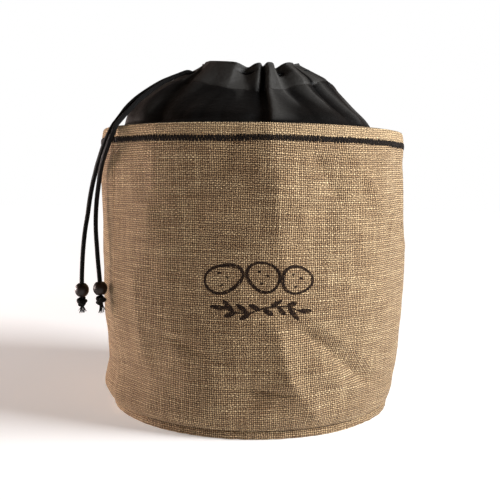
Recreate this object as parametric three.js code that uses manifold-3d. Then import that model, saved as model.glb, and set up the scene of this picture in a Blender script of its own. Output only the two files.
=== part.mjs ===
// A round jute storage bag for potatoes: a soft hessian cylinder with a doubled hem and a sewn-on base,
// and a gathered black drawstring top. Millimetres, +Z up, the front faces -Y, the base lies on z = 0.
import * as THREE from 'three';
import { mergeVertices } from 'three/addons/utils/BufferGeometryUtils.js';
import Module from 'manifold-3d';

// Driving dimensions of the jute bag
const RIM_RADIUS = 140;
const RIM_HEIGHT = 252;
const JUTE = 2;
const HEM_DEPTH = 22;
const HEM_THICKNESS = 3.6;
const SEAM_RIDGE = 1.4;
const BASE_INSET = 0.4;
const BASE_THICKNESS = 3;
const BAND_HEIGHT = 6.8;
const BAND_SQUARENESS = 0.45;

// Driving dimensions of the drawstring top
const CLOTH = 1.2;
const SEWN_DEPTH = 20;
const STITCH_DEPTH = 12;
const NECK_RISE = 64;
const CASING_DEPTH = 24;
const CASING_WIDTH = 7;
const GATHER_DEPTH = 9;
const LOOP_DEPTH = 9;

// Driving dimensions of the cord, its beads and its knots
const CORD = 4;
const BEAD_DIAMETER = 12.4;
const BEAD_HEIGHT = 11.6;
const BORE_CLEARANCE = 0.4;
const KNOT_DIAMETER = 8.6;
const KNOT_HEIGHT = 8.4;
const SLIT_CLEARANCE = 1.4;
const SLIT_LENGTH = 19;

// The gap that neighbouring pieces keep
const GAP = 0.3;

// How many facets each round piece has
const ROUND_STEPS = 60;
const BASE_STEPS = 48;

// Sections of the jute wall: height as a share of the rim height, radii as shares of the rim radius.
const WALL_SECTIONS = [
  { at: 0.028, left: 0.945, right: 0.940, front: 0.942 },
  { at: 0.048, left: 0.978, right: 0.954, front: 0.960 },
  { at: 0.075, left: 0.996, right: 0.966, front: 0.972 },
  { at: 0.115, left: 0.983, right: 0.974, front: 0.978 },
  { at: 0.160, left: 0.968, right: 0.984, front: 0.982 },
  { at: 0.230, left: 0.976, right: 1.000, front: 0.990 },
  { at: 0.350, left: 1.002, right: 1.016, front: 1.000 },
  { at: 0.560, left: 1.007, right: 1.022, front: 1.004 },
  { at: 0.730, left: 1.010, right: 1.006, front: 1.000 },
  { at: 0.880, left: 1.022, right: 0.994, front: 0.996 },
  { at: 0.950, left: 1.016, right: 0.998, front: 1.000 },
  { at: 1.000, left: 1.000, right: 0.986, front: 0.996 },
];

// The base is cut to the wall's foot, a little inside its narrowest side.
const BASE_RADIUS = WALL_SECTIONS[0].right * RIM_RADIUS - BASE_INSET;

// Dents (inward) of the jute wall: the turn counts in degrees from the front, positive to the right.
// Height and tall are shares of the rim height, depth is a share of the rim radius, and lean is how
// many degrees the dent wanders from its foot to its top.
const WALL_DENTS = [
  { turn: -10, at: 0.62, wide: 13, tall: 0.30, depth: 0.022, lean: -4 },
  { turn: 22, at: 0.68, wide: 8, tall: 0.12, depth: 0.014, lean: 6 },
  { turn: 2, at: 0.16, wide: 11, tall: 0.10, depth: 0.020, lean: 0 },
  { turn: 38, at: 0.24, wide: 6, tall: 0.12, depth: 0.014, lean: -22 },
  { turn: -48, at: 0.17, wide: 16, tall: 0.09, depth: 0.016, lean: 8 },
  { turn: -76, at: 0.55, wide: 9, tall: 0.30, depth: 0.010, lean: 0 },
  { turn: 60, at: 0.40, wide: 7, tall: 0.22, depth: 0.008, lean: 14 },
  { turn: 118, at: 0.46, wide: 13, tall: 0.24, depth: 0.017, lean: 12 },
  { turn: 166, at: 0.20, wide: 15, tall: 0.12, depth: 0.018, lean: -14 },
  { turn: -150, at: 0.62, wide: 12, tall: 0.26, depth: 0.016, lean: -8 },
  { turn: -112, at: 0.28, wide: 10, tall: 0.14, depth: 0.014, lean: 10 },
];
const SEAM_TURN = -57;
const SEAM_SPREAD = 4;

// Sections of the drawstring top above the rim: height as a share of the neck's rise, radii as shares
// of the rim radius. The left shoulder is fuller than the right one, and the front is steeper.
const TOP_SECTIONS = [
  { at: 0.07, left: 0.862, right: 0.780, front: 0.842 },
  { at: 0.19, left: 0.850, right: 0.742, front: 0.780 },
  { at: 0.34, left: 0.814, right: 0.678, front: 0.662 },
  { at: 0.53, left: 0.716, right: 0.606, front: 0.510 },
  { at: 0.65, left: 0.632, right: 0.558, front: 0.455 },
  { at: 0.77, left: 0.530, right: 0.510, front: 0.418 },
  { at: 0.88, left: 0.432, right: 0.436, front: 0.386 },
  { at: 0.95, left: 0.382, right: 0.382, front: 0.364 },
  { at: 1.00, left: 0.350, right: 0.340, front: 0.344 },
];
const FRONT_DROP = 0.09;

// Gathers of the top: where each valley is at the neck and at its foot on the rim, in degrees from the
// front, how wide it is at either end, and how deep at either end, as a share of the gather depth.
const GATHERS = [
  { turn: -73, foot: -72, wide: 7, spread: 9, depth: 0.60, fade: 0.00 },
  { turn: -58, foot: -40, wide: 6, spread: 7, depth: 0.80, fade: 0.50 },
  { turn: -9, foot: -12, wide: 8, spread: 8, depth: 1.00, fade: 0.24 },
  { turn: 9, foot: 7, wide: 5, spread: 6, depth: 0.85, fade: 0.70 },
  { turn: 28, foot: 18, wide: 8, spread: 9, depth: 1.00, fade: 0.28 },
  { turn: 56, foot: 46, wide: 7, spread: 8, depth: 0.90, fade: 0.34 },
  { turn: 80, foot: 68, wide: 7, spread: 7, depth: 0.60, fade: 0.42 },
  { turn: 108, foot: 112, wide: 8, spread: 9, depth: 0.90, fade: 0.40 },
  { turn: 134, foot: 140, wide: 7, spread: 9, depth: 1.00, fade: 0.34 },
  { turn: 163, foot: 160, wide: 8, spread: 8, depth: 0.80, fade: 0.44 },
  { turn: 190, foot: 192, wide: 8, spread: 9, depth: 0.95, fade: 0.36 },
  { turn: 217, foot: 222, wide: 7, spread: 9, depth: 0.85, fade: 0.46 },
  { turn: 251, foot: 247, wide: 8, spread: 8, depth: 0.90, fade: 0.36 },
];

// Routes of the two free cord ends, from the casing's slit over the shoulder and the rim to the bead:
// the turn in degrees from the front, the reach from the bag's axis and the height, chosen by hand.
const OUTER_ROUTE = [
  [-75.0, 52.9, 304.5],
  [-75.0, 56.0, 303.7],
  [-75.0, 60.1, 304.2],
  [-75.0, 64.9, 305.4],
  [-75.0, 70.0, 303.6],
  [-74.6, 78.1, 300.2],
  [-73.2, 88.1, 295.5],
  [-70.0, 101.6, 287.0],
  [-66.5, 114.0, 278.2],
  [-63.0, 124.2, 269.6],
  [-60.0, 131.9, 261.9],
  [-57.4, 137.9, 256.6],
  [-55.8, 141.8, 253.5],
  [-55.0, 144.7, 250.3],
  [-54.8, 146.8, 246.7],
  [-55.1, 148.4, 243.3],
  [-56.4, 150.1, 237.1],
  [-58.2, 150.5, 231.4],
  [-60.5, 150.7, 224.8],
  [-62.8, 151.1, 218.1],
  [-64.8, 151.5, 211.3],
  [-66.2, 152.5, 204.3],
  [-67.6, 154.5, 190.3],
  [-68.0, 156.4, 176.0],
  [-68.0, 158.8, 162.0],
  [-68.0, 160.4, 148.0],
  [-68.0, 161.4, 134.0],
  [-68.0, 162.0, 118.0],
  [-68.0, 162.0, 103.5],
];
const INNER_ROUTE = [
  [-69.8, 53.0, 304.3],
  [-69.8, 56.0, 303.5],
  [-69.9, 60.2, 304.0],
  [-70.2, 64.9, 305.1],
  [-70.6, 70.0, 303.4],
  [-70.3, 78.3, 299.4],
  [-68.6, 88.7, 294.1],
  [-65.4, 101.9, 285.1],
  [-62.0, 114.5, 275.6],
  [-58.8, 124.7, 267.0],
  [-56.0, 133.1, 260.5],
  [-53.8, 139.6, 255.6],
  [-52.7, 143.7, 252.2],
  [-52.2, 145.9, 248.8],
  [-52.1, 147.6, 245.0],
  [-52.4, 149.0, 241.7],
  [-53.8, 150.0, 235.3],
  [-55.7, 150.0, 229.6],
  [-57.6, 149.8, 224.7],
  [-60.2, 149.2, 218.1],
  [-62.6, 148.7, 211.3],
  [-64.4, 148.4, 204.4],
  [-66.3, 149.1, 190.5],
  [-67.0, 149.8, 176.0],
  [-66.8, 150.0, 162.0],
  [-66.4, 149.4, 148.0],
  [-65.4, 149.0, 134.0],
  [-64.0, 148.6, 120.0],
  [-63.0, 148.4, 106.0],
];
const CORD_STEPS = 36;

const JUTE_FINISH = { color: 0xb59872, roughness: 0.95, metalness: 0 };
const CLOTH_FINISH = { color: 0x1d1d1b, roughness: 0.6, metalness: 0 };
const CORD_FINISH = { color: 0x141313, roughness: 0.75, metalness: 0 };
const BEAD_FINISH = { color: 0x2b1610, roughness: 0.4, metalness: 0 };

const manifold = await Module();
manifold.setup();

// Angles count from the front (-Y), positive to the right (+X), in degrees.
function place(turn, reach, height) {
  const angle = THREE.MathUtils.degToRad(turn);
  return new THREE.Vector3(reach * Math.sin(angle), -reach * Math.cos(angle), height);
}

function turnAt(step, steps) {
  return (step * 360) / steps;
}

// The shortest way from one turn to another, in degrees between -180 and 180.
function turnBetween(from, to) {
  return THREE.MathUtils.euclideanModulo(to - from + 180, 360) - 180;
}

// Reads one column of a table of sections, with smooth steps between its rows.
function readColumn(rows, column, at) {
  const above = rows.findIndex((row) => row.at > at);
  if (above === 0) return rows[0][column];
  if (above < 0) return rows[rows.length - 1][column];
  const low = rows[above - 1];
  const high = rows[above];
  const before = rows[Math.max(above - 2, 0)];
  const after = rows[Math.min(above + 1, rows.length - 1)];
  const span = high.at - low.at;
  const t = (at - low.at) / span;
  const slopeLow = ((high[column] - before[column]) / (high.at - before.at)) * span;
  const slopeHigh = ((after[column] - low[column]) / (after.at - low.at)) * span;
  const t2 = t * t;
  const t3 = t2 * t;
  return (2 * t3 - 3 * t2 + 1) * low[column] + (t3 - 2 * t2 + t) * slopeLow
    + (3 * t2 - 2 * t3) * high[column] + (t3 - t2) * slopeHigh;
}

// Blends the left, right and front columns round the bag; the back is like the front.
function readRound(rows, turn, at) {
  const angle = THREE.MathUtils.degToRad(turn);
  const side = Math.sin(angle);
  const flank = readColumn(rows, side > 0 ? 'right' : 'left', at);
  const front = readColumn(rows, 'front', at);
  return flank * side * side + front * (1 - side * side);
}

function bell(distance, width) {
  return Math.exp(-((distance / width) ** 2));
}

// A closed shell round the Z axis: one closed loop of [radius, height] points for each turn, in the
// same order, going up on the outer side and down on the inner side.
function ringShell(steps, loopAt) {
  const loops = Array.from({ length: steps }, (_, step) => loopAt(turnAt(step, steps)));
  const count = loops[0].length;
  const positions = [];
  const indices = [];
  for (let step = 0; step < steps; step += 1) {
    for (const [radius, height] of loops[step]) {
      positions.push(...place(turnAt(step, steps), radius, height).toArray());
    }
  }
  for (let step = 0; step < steps; step += 1) {
    const next = (step + 1) % steps;
    for (let point = 0; point < count; point += 1) {
      const up = (point + 1) % count;
      const corner = step * count + point;
      const corner1 = next * count + point;
      const corner2 = next * count + up;
      const corner3 = step * count + up;
      indices.push(corner, corner1, corner2, corner, corner2, corner3);
    }
  }
  const geometry = new THREE.BufferGeometry();
  geometry.setAttribute('position', new THREE.Float32BufferAttribute(positions, 3));
  geometry.setIndex(indices);
  return geometry;
}

function namedMesh(name, geometry, finish) {
  geometry.computeVertexNormals();
  const mesh = new THREE.Mesh(geometry, new THREE.MeshStandardMaterial(finish));
  mesh.name = name;
  return mesh;
}

function toManifold(geometry) {
  const bare = geometry.clone();
  bare.deleteAttribute('normal');
  bare.deleteAttribute('uv');
  const merged = mergeVertices(bare, 1e-4);
  return new manifold.Manifold(new manifold.Mesh({
    numProp: 3,
    vertProperties: new Float32Array(merged.attributes.position.array),
    triVerts: new Uint32Array(merged.index.array),
  }));
}

function fromManifold(solid) {
  const mesh = solid.getMesh();
  const geometry = new THREE.BufferGeometry();
  geometry.setAttribute('position', new THREE.Float32BufferAttribute(mesh.vertProperties, 3));
  geometry.setIndex(Array.from(mesh.triVerts));
  return geometry;
}

// The outer face of the jute wall at a turn and a height.
function wallRadius(turn, height) {
  const at = height / RIM_HEIGHT;
  let share = readRound(WALL_SECTIONS, turn, at);
  for (const dent of WALL_DENTS) {
    const rise = (at - dent.at) / dent.tall;
    const off = turnBetween(dent.turn + (dent.lean * rise) / 2, turn);
    share -= dent.depth * bell(off, dent.wide) * bell(rise, 1);
  }
  const ridge = SEAM_RIDGE * bell(turnBetween(SEAM_TURN, turn), SEAM_SPREAD);
  return share * RIM_RADIUS + ridge;
}

// The tube of hessian: single cloth up to the hem, and doubled cloth with a folded edge at the rim.
function juteWall() {
  const foot = BAND_HEIGHT + GAP;
  const top = RIM_HEIGHT;
  const hemFoot = RIM_HEIGHT - HEM_DEPTH;
  const outerHeights = [foot];
  for (const share of [0.05, 0.08, 0.11, 0.15, 0.2, 0.27, 0.36, 0.47, 0.58, 0.69, 0.8]) {
    outerHeights.push(share * top);
  }
  outerHeights.push(hemFoot + HEM_DEPTH / 2, top - HEM_THICKNESS / 2);
  const innerHeights = outerHeights.filter((height) => height < hemFoot - JUTE).reverse();
  return ringShell(ROUND_STEPS, (turn) => {
    const loop = outerHeights.map((height) => [wallRadius(turn, height), height]);
    const rim = wallRadius(turn, top);
    loop.push([rim - HEM_THICKNESS * 0.28, top]);
    loop.push([rim - HEM_THICKNESS * 0.72, top]);
    for (const height of [top - HEM_THICKNESS / 2, hemFoot + HEM_DEPTH / 2, hemFoot]) {
      loop.push([wallRadius(turn, height) - HEM_THICKNESS, height]);
    }
    const step = hemFoot - (HEM_THICKNESS - JUTE);
    loop.push([wallRadius(turn, step) - JUTE, step]);
    for (const height of innerHeights) {
      loop.push([wallRadius(turn, height) - JUTE, height]);
    }
    return loop;
  });
}

// Makes a circle's sine or cosine fuller, which turns the circle into a soft square.
function squared(value) {
  return Math.sign(value) * Math.abs(value) ** BAND_SQUARENESS;
}

// The round base: a flat disc whose rolled edge stands up as the band below the seam.
function juteBase() {
  const roll = BAND_HEIGHT / 2;
  const profile = [
    new THREE.Vector2(0, 0),
    new THREE.Vector2(BASE_RADIUS - roll, 0),
  ];
  for (let step = -1; step <= 2; step += 1) {
    const angle = (step * Math.PI) / 4;
    profile.push(new THREE.Vector2(
      BASE_RADIUS - roll + roll * squared(Math.cos(angle)),
      roll + roll * squared(Math.sin(angle)),
    ));
  }
  profile.push(new THREE.Vector2(BASE_RADIUS - 2 * roll, BASE_THICKNESS + roll / 3));
  profile.push(new THREE.Vector2(BASE_RADIUS - 3 * roll, BASE_THICKNESS));
  profile.push(new THREE.Vector2(0, BASE_THICKNESS));
  const geometry = new THREE.LatheGeometry(profile, BASE_STEPS);
  geometry.rotateX(Math.PI / 2);
  return mergeVertices(geometry);
}

// How deep the gathers pull the top in, from 0 at the rim to 1 at the neck.
function gatherAt(turn, rise) {
  let pull = 0;
  for (const gather of GATHERS) {
    const centre = gather.foot + turnBetween(gather.foot, gather.turn) * rise;
    const width = THREE.MathUtils.lerp(gather.spread, gather.wide, rise);
    const depth = THREE.MathUtils.lerp(gather.fade, gather.depth, rise * rise);
    pull += depth * bell(turnBetween(centre, turn), width);
  }
  return pull;
}

// The middle line of the top's cloth at one turn, from where it is sewn inside the hem up to the neck.
function topLine(turn) {
  const line = [];
  for (const depth of [SEWN_DEPTH, STITCH_DEPTH]) {
    const height = RIM_HEIGHT - depth;
    line.push([wallRadius(turn, height) - HEM_THICKNESS - GAP - CLOTH / 2, height]);
  }
  const side = Math.sin(THREE.MathUtils.degToRad(turn)) ** 2;
  const rise = NECK_RISE * (1 - FRONT_DROP * (1 - side));
  for (const { at } of TOP_SECTIONS) {
    const pull = gatherAt(turn, at);
    const radius = readRound(TOP_SECTIONS, turn, at) * RIM_RADIUS;
    line.push([radius - GATHER_DEPTH * pull, RIM_HEIGHT + rise * at - GATHER_DEPTH * pull * at * 0.4]);
  }
  return line.map(([radius, height]) => new THREE.Vector2(radius, height));
}

// The last stretch of a line, of a given length, as evenly spaced points from its end backwards.
function lastStretch(line, length, count) {
  const points = [line[line.length - 1].clone()];
  for (let step = 1; step <= count; step += 1) {
    let left = (length * step) / count;
    let index = line.length - 1;
    while (left > line[index].distanceTo(line[index - 1]) && index > 1) {
      left -= line[index].distanceTo(line[index - 1]);
      index -= 1;
    }
    const share = left / line[index].distanceTo(line[index - 1]);
    points.push(line[index].clone().lerp(line[index - 1], share));
  }
  return points;
}

// Unit vectors that point out of the bag, square to a line that runs up.
function outwardNormals(line) {
  return line.map((point, index) => {
    const before = line[Math.max(index - 1, 0)];
    const after = line[Math.min(index + 1, line.length - 1)];
    const along = after.clone().sub(before).normalize();
    return new THREE.Vector2(along.y, -along.x);
  });
}

function shifted(line, distance) {
  const normals = outwardNormals(line);
  return line.map((point, index) => point.clone().addScaledVector(normals[index], distance));
}

// The inner leg of the casing: the same cloth, folded in at the neck and led down beside the outer leg.
function casingLine(turn) {
  const outer = lastStretch(topLine(turn), CASING_DEPTH, 3).reverse();
  return shifted(outer, -CASING_WIDTH);
}

// The sleeve and its casing as one cloth: outside up, over the neck, inside down, and back up between
// the two legs, which stay open below so that the cord lies in a channel.
function drawstringTop() {
  return ringShell(ROUND_STEPS, (turn) => {
    const outer = topLine(turn);
    const inner = casingLine(turn);
    const peak = outer[outer.length - 1];
    const fold = inner[inner.length - 1];
    const middle = peak.clone().add(fold).multiplyScalar(0.5);
    const arch = middle.clone();
    arch.y += CASING_WIDTH / 2;
    const half = CLOTH / 2;
    const loop = [
      ...shifted(outer, half),
      arch.clone().setY(arch.y + half),
      ...shifted(inner, -half).reverse(),
      ...shifted(inner, half),
      arch.clone().setY(arch.y - half),
      ...shifted(outer, -half).reverse(),
    ];
    return loop.map((point) => [point.x, point.y]);
  });
}

// Where the cord runs inside the casing at one turn: in the middle of the channel.
function loopCentre(turn) {
  const outer = lastStretch(topLine(turn), LOOP_DEPTH, 2).reverse();
  return shifted(outer, -CASING_WIDTH / 2)[0];
}

function cordLoop() {
  const sides = 8;
  return ringShell(ROUND_STEPS, (turn) => {
    const centre = loopCentre(turn);
    return Array.from({ length: sides }, (_, side) => {
      const angle = (side * 2 * Math.PI) / sides;
      return [centre.x + (CORD / 2) * Math.cos(angle), centre.y + (CORD / 2) * Math.sin(angle)];
    });
  });
}

// A round cord along its route, as an extruded eight-sided section.
function cordAlong(route) {
  const sides = 8;
  const section = new THREE.Shape(Array.from({ length: sides }, (_, side) => {
    const angle = ((side + 0.5) * 2 * Math.PI) / sides;
    return new THREE.Vector2((CORD / 2) * Math.cos(angle), (CORD / 2) * Math.sin(angle));
  }));
  const curve = new THREE.CatmullRomCurve3(route.map((point) => place(...point)), false, 'centripetal');
  const geometry = new THREE.ExtrudeGeometry(section, {
    steps: CORD_STEPS,
    bevelEnabled: false,
    extrudePath: curve,
  });
  geometry.deleteAttribute('normal');
  geometry.deleteAttribute('uv');
  return mergeVertices(geometry, 1e-4);
}

// Turns a piece made round the Z axis so that it lies along a cord's last stretch, past its end.
function hangOn(geometry, route, below) {
  const end = place(...route[route.length - 1]);
  const before = place(...route[route.length - 2]);
  const down = end.clone().sub(before).normalize();
  const turn = new THREE.Quaternion().setFromUnitVectors(new THREE.Vector3(0, 0, -1), down);
  geometry.applyQuaternion(turn);
  const centre = end.addScaledVector(down, below);
  geometry.translate(centre.x, centre.y, centre.z);
  return geometry;
}

// A drilled wooden bead: round, with small flats where the bore comes out. The cord runs through it.
function bead() {
  const bore = CORD / 2 + BORE_CLEARANCE;
  const profile = [new THREE.Vector2(bore, -BEAD_HEIGHT / 2)];
  const bend = Math.acos((bore + CORD / 4) / (BEAD_DIAMETER / 2));
  const arcs = 8;
  for (let step = 0; step <= arcs; step += 1) {
    const angle = -bend + (2 * bend * step) / arcs;
    const height = (Math.sin(angle) / Math.sin(bend)) * (BEAD_HEIGHT / 2);
    profile.push(new THREE.Vector2((BEAD_DIAMETER / 2) * Math.cos(angle), height));
  }
  profile.push(new THREE.Vector2(bore, BEAD_HEIGHT / 2), profile[0].clone());
  const geometry = new THREE.LatheGeometry(profile, 14);
  geometry.rotateX(Math.PI / 2);
  return mergeVertices(geometry, 1e-4);
}

// A plain knot with its waist between two turns of the cord.
function knot() {
  const radius = KNOT_DIAMETER / 2;
  const tall = KNOT_HEIGHT / 2;
  const profile = [
    [0, -tall],
    [radius * 0.5, -tall],
    [radius * 0.92, -tall * 0.72],
    [radius * 0.96, -tall * 0.3],
    [radius * 0.8, 0],
    [radius, tall * 0.3],
    [radius * 0.9, tall * 0.75],
    [radius * 0.5, tall],
    [0, tall],
  ].map(([x, y]) => new THREE.Vector2(x, y));
  const geometry = new THREE.LatheGeometry(profile, 12);
  geometry.rotateX(Math.PI / 2);
  return mergeVertices(geometry, 1e-4);
}

// The buttonhole in the casing's outer leg that both cord ends come out of: a slot with round ends
// that runs down the shoulder, cut square to the cloth.
function casingSlit() {
  const turn = (OUTER_ROUTE[0][0] + INNER_ROUTE[0][0]) / 2;
  const outer = lastStretch(topLine(turn), LOOP_DEPTH + SLIT_LENGTH, 6);
  const low = outer[outer.length - 1];
  const downhill = low.clone().sub(outer[2]).normalize();
  const centre = low.clone().addScaledVector(downhill, -SLIT_LENGTH / 2);
  const radius = CORD + SLIT_CLEARANCE;
  const straight = Math.max(SLIT_LENGTH / 2 - radius, 0);
  const slot = new THREE.Shape();
  slot.absarc(0, straight, radius, 0, Math.PI);
  slot.absarc(0, -straight, radius, Math.PI, 2 * Math.PI);
  const depth = CASING_WIDTH;
  const geometry = new THREE.ExtrudeGeometry(slot, { depth, bevelEnabled: false, curveSegments: 5 });
  geometry.translate(0, 0, -CASING_WIDTH / 2);
  const uphill = place(turn, -downhill.x, -downhill.y);
  const across = place(turn + 90, 1, 0);
  const outward = across.clone().cross(uphill);
  const frame = new THREE.Matrix4().makeBasis(across, uphill, outward);
  frame.setPosition(place(turn, centre.x, centre.y));
  geometry.applyMatrix4(frame);
  return geometry;
}

function drawstringTopWithSlit() {
  return fromManifold(toManifold(drawstringTop()).subtract(toManifold(casingSlit())));
}

const bag = new THREE.Group();
bag.add(namedMesh('jute_wall', juteWall(), JUTE_FINISH));
bag.add(namedMesh('jute_base', juteBase(), JUTE_FINISH));
bag.add(namedMesh('drawstring_top', drawstringTopWithSlit(), CLOTH_FINISH));
bag.add(namedMesh('cord_loop', cordLoop(), CORD_FINISH));

const ends = { outer: OUTER_ROUTE, inner: INNER_ROUTE };
for (const [side, route] of Object.entries(ends)) {
  bag.add(namedMesh(`cord_${side}`, cordAlong(route), CORD_FINISH));
  bag.add(namedMesh(`bead_${side}`, hangOn(bead(), route, -BEAD_HEIGHT / 2), BEAD_FINISH));
  bag.add(namedMesh(`knot_${side}`, hangOn(knot(), route, GAP + KNOT_HEIGHT / 2), CORD_FINISH));
}

export default bag;
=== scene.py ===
# %% [markdown]
# # A potato storage bag
# The imported model gives the sizes and the places of all pieces. This script dresses it: hessian that
# looks woven, a gathered black top, braided cord ends with wooden beads, stitches and a print.
# The model is loaded first.
# %% Load the frame
import math

import bpy
import numpy as np
from mathutils import Matrix, Vector


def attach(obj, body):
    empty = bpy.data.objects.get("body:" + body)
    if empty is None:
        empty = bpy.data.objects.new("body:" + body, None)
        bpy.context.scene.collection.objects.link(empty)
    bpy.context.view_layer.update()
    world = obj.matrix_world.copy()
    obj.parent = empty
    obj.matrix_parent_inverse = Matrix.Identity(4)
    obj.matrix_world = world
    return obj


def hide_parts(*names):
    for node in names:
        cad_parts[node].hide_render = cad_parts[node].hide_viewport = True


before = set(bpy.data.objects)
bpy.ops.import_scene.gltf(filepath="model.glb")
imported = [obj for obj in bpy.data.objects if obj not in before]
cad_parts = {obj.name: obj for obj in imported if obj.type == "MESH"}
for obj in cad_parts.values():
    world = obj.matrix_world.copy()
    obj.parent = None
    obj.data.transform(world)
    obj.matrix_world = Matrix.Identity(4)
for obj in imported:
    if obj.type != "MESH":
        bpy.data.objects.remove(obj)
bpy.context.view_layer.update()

print("nodes:", sorted(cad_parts))

# %% [markdown]
# ## The camera
# The photograph was solved for its camera: a lens about 0.7 m in front of the bag, a little above its
# middle, looking down by 5.5 degrees and turned by less than one degree. The focal length is known in
# pixels of a picture 500 wide, so it becomes millimetres on a sensor 36 mm wide.
# %% Camera
MM = 0.001
CAMERA_PLACE = Vector((-0.0010, -0.7000, 0.2084))
FOCAL_PIXELS = 730.6
PICTURE_PIXELS = 500
PITCH_DOWN = 0.0961
ROLL = 0.014

look = Vector((0, math.cos(PITCH_DOWN), -math.sin(PITCH_DOWN)))
level_up = Vector((0, math.sin(PITCH_DOWN), math.cos(PITCH_DOWN)))
level_right = Vector((1, 0, 0))
right = level_right * math.cos(ROLL) + level_up * math.sin(ROLL)
up = level_up * math.cos(ROLL) - level_right * math.sin(ROLL)

camera_data = bpy.data.cameras.new("camera")
camera_data.sensor_width = 36
camera_data.lens = FOCAL_PIXELS * 36 / PICTURE_PIXELS
camera_data.shift_x = -1.25 / PICTURE_PIXELS
camera = bpy.data.objects.new("camera", camera_data)
turned = Matrix((right, up, -look)).transposed().to_4x4()
camera.matrix_world = Matrix.Translation(CAMERA_PLACE) @ turned
bpy.context.scene.collection.objects.link(camera)
bpy.context.scene.camera = camera
print("lens, mm:", round(camera_data.lens, 2))

# %% [markdown]
# ## Places round the bag
# Everything on the bag is placed by three numbers: the turn in degrees from the front (positive to the
# right), the reach from the bag's axis and the height. One function turns them into x, y and z. Three
# small helpers go with it: a bell curve, the shorter way between two turns, and a smooth step.
# %% Places
def place(turn, reach, height):
    angle = np.radians(turn)
    return np.stack(np.broadcast_arrays(
        reach * np.sin(angle), -reach * np.cos(angle), height + 0 * angle), axis=-1)


def bell(distance, width):
    return np.exp(-(distance / width) ** 2)


def turn_between(start, end):
    return (end - start + 180) % 360 - 180


def ease(value, low, high):
    t = np.clip((value - low) / (high - low), 0, 1)
    return t * t * (3 - 2 * t)


print("front of the rim:", place(0.0, 0.140, 0.252))

# %% [markdown]
# ## Meshes from rings of points
# Walls, cords and beads are all rings of points joined by four-sided faces. The faces keep a second set
# of numbers, their place in the cloth counted in threads, which the weave later reads.
# %% Rings of points
def mesh_object(name, points, faces, uv=None):
    mesh = bpy.data.meshes.new(name)
    mesh.from_pydata(np.asarray(points).reshape(-1, 3).tolist(), [], [list(f) for f in faces])
    if uv is not None:
        layer = mesh.uv_layers.new(name="threads")
        layer.data.foreach_set("uv", np.asarray(uv, dtype=np.float32).ravel())
    mesh.update()
    mesh.shade_smooth()
    piece = bpy.data.objects.new(name, mesh)
    bpy.context.scene.collection.objects.link(piece)
    return piece


def ring_faces(turns, rows, closed):
    """Faces of a grid that closes round the axis, and the same faces for a grid that doesn't."""
    t, r = np.meshgrid(np.arange(turns), np.arange(rows if closed else rows - 1), indexing="ij")
    corners = [(t, r), (t + 1, r), (t + 1, r + 1), (t, r + 1)]
    faces = np.stack([(a % turns) * rows + b % rows for a, b in corners], axis=-1).reshape(-1, 4)
    wide = np.stack([a * (rows + 1) + b for a, b in corners], axis=-1).reshape(-1, 4)
    return faces, wide


def ring_object(name, points, uv, closed=True, keep=None):
    """points has the shape (turns, rows, 3), and uv (turns + 1, rows + 1, 2)."""
    turns, rows = points.shape[:2]
    faces, wide = ring_faces(turns, rows, closed)
    if keep is not None:
        faces, wide = faces[keep], wide[keep]
    return mesh_object(name, points, faces, uv.reshape(-1, 2)[wide.reshape(-1)])


print("ring helpers are ready")

# %% [markdown]
# A cord or a thread is a round tube along a path. A curve object with a bevel would make one too, but
# here the braid has to be counted round the tube and along it, so its rings are set point by point.
# Each ring starts from the one before it, turned as little as possible, so that the tube never twists.
# %% Tubes along a path
def tube_parts(path, radius, sides, around=1.0, along=1000.0):
    """A round tube along a path: its points, its faces, and threads counted round and along it."""
    path = np.asarray(path, dtype=float)
    radius = np.broadcast_to(radius, len(path))
    ahead = np.gradient(path, axis=0)
    ahead /= np.linalg.norm(ahead, axis=1)[:, None]
    side = np.cross(ahead[0], [0.31, 0.93, 0.17])
    side /= np.linalg.norm(side)
    rings, uv = [], []
    run = np.concatenate([[0], np.cumsum(np.linalg.norm(np.diff(path, axis=0), axis=1))])
    angles = np.linspace(0, 2 * np.pi, sides + 1)
    for point, direction, size, length in zip(path, ahead, radius, run):
        side = side - direction * (side @ direction)
        side /= np.linalg.norm(side)
        other = np.cross(direction, side)
        circle = np.outer(np.cos(angles), side) + np.outer(np.sin(angles), other)
        rings.append(point + size * circle[:-1])
        uv.append(np.stack([angles / (2 * np.pi) * around, np.full(sides + 1, length * along)], 1))
    faces, corners = [], []
    for ring in range(len(path) - 1):
        for step in range(sides):
            low, high = ring * sides, (ring + 1) * sides
            nxt = (step + 1) % sides
            faces.append([low + step, low + nxt, high + nxt, high + step])
            corners += [uv[ring][step], uv[ring][step + 1], uv[ring + 1][step + 1], uv[ring + 1][step]]
    last = (len(path) - 1) * sides
    faces.append(list(range(sides))[::-1])
    corners += [uv[0][step] for step in range(sides)][::-1]
    faces.append([last + step for step in range(sides)])
    corners += [uv[-1][step] for step in range(sides)]
    return np.concatenate(rings), faces, np.array(corners)


def joined(name, parts):
    """One object from several (points, faces, uv) parts."""
    points, faces, uv, start = [], [], [], 0
    for part_points, part_faces, part_uv in parts:
        points.append(part_points)
        faces += [[start + corner for corner in face] for face in part_faces]
        uv.append(part_uv)
        start += len(part_points)
    return mesh_object(name, np.concatenate(points), faces, np.concatenate(uv))


print("tube helpers are ready")
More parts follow.
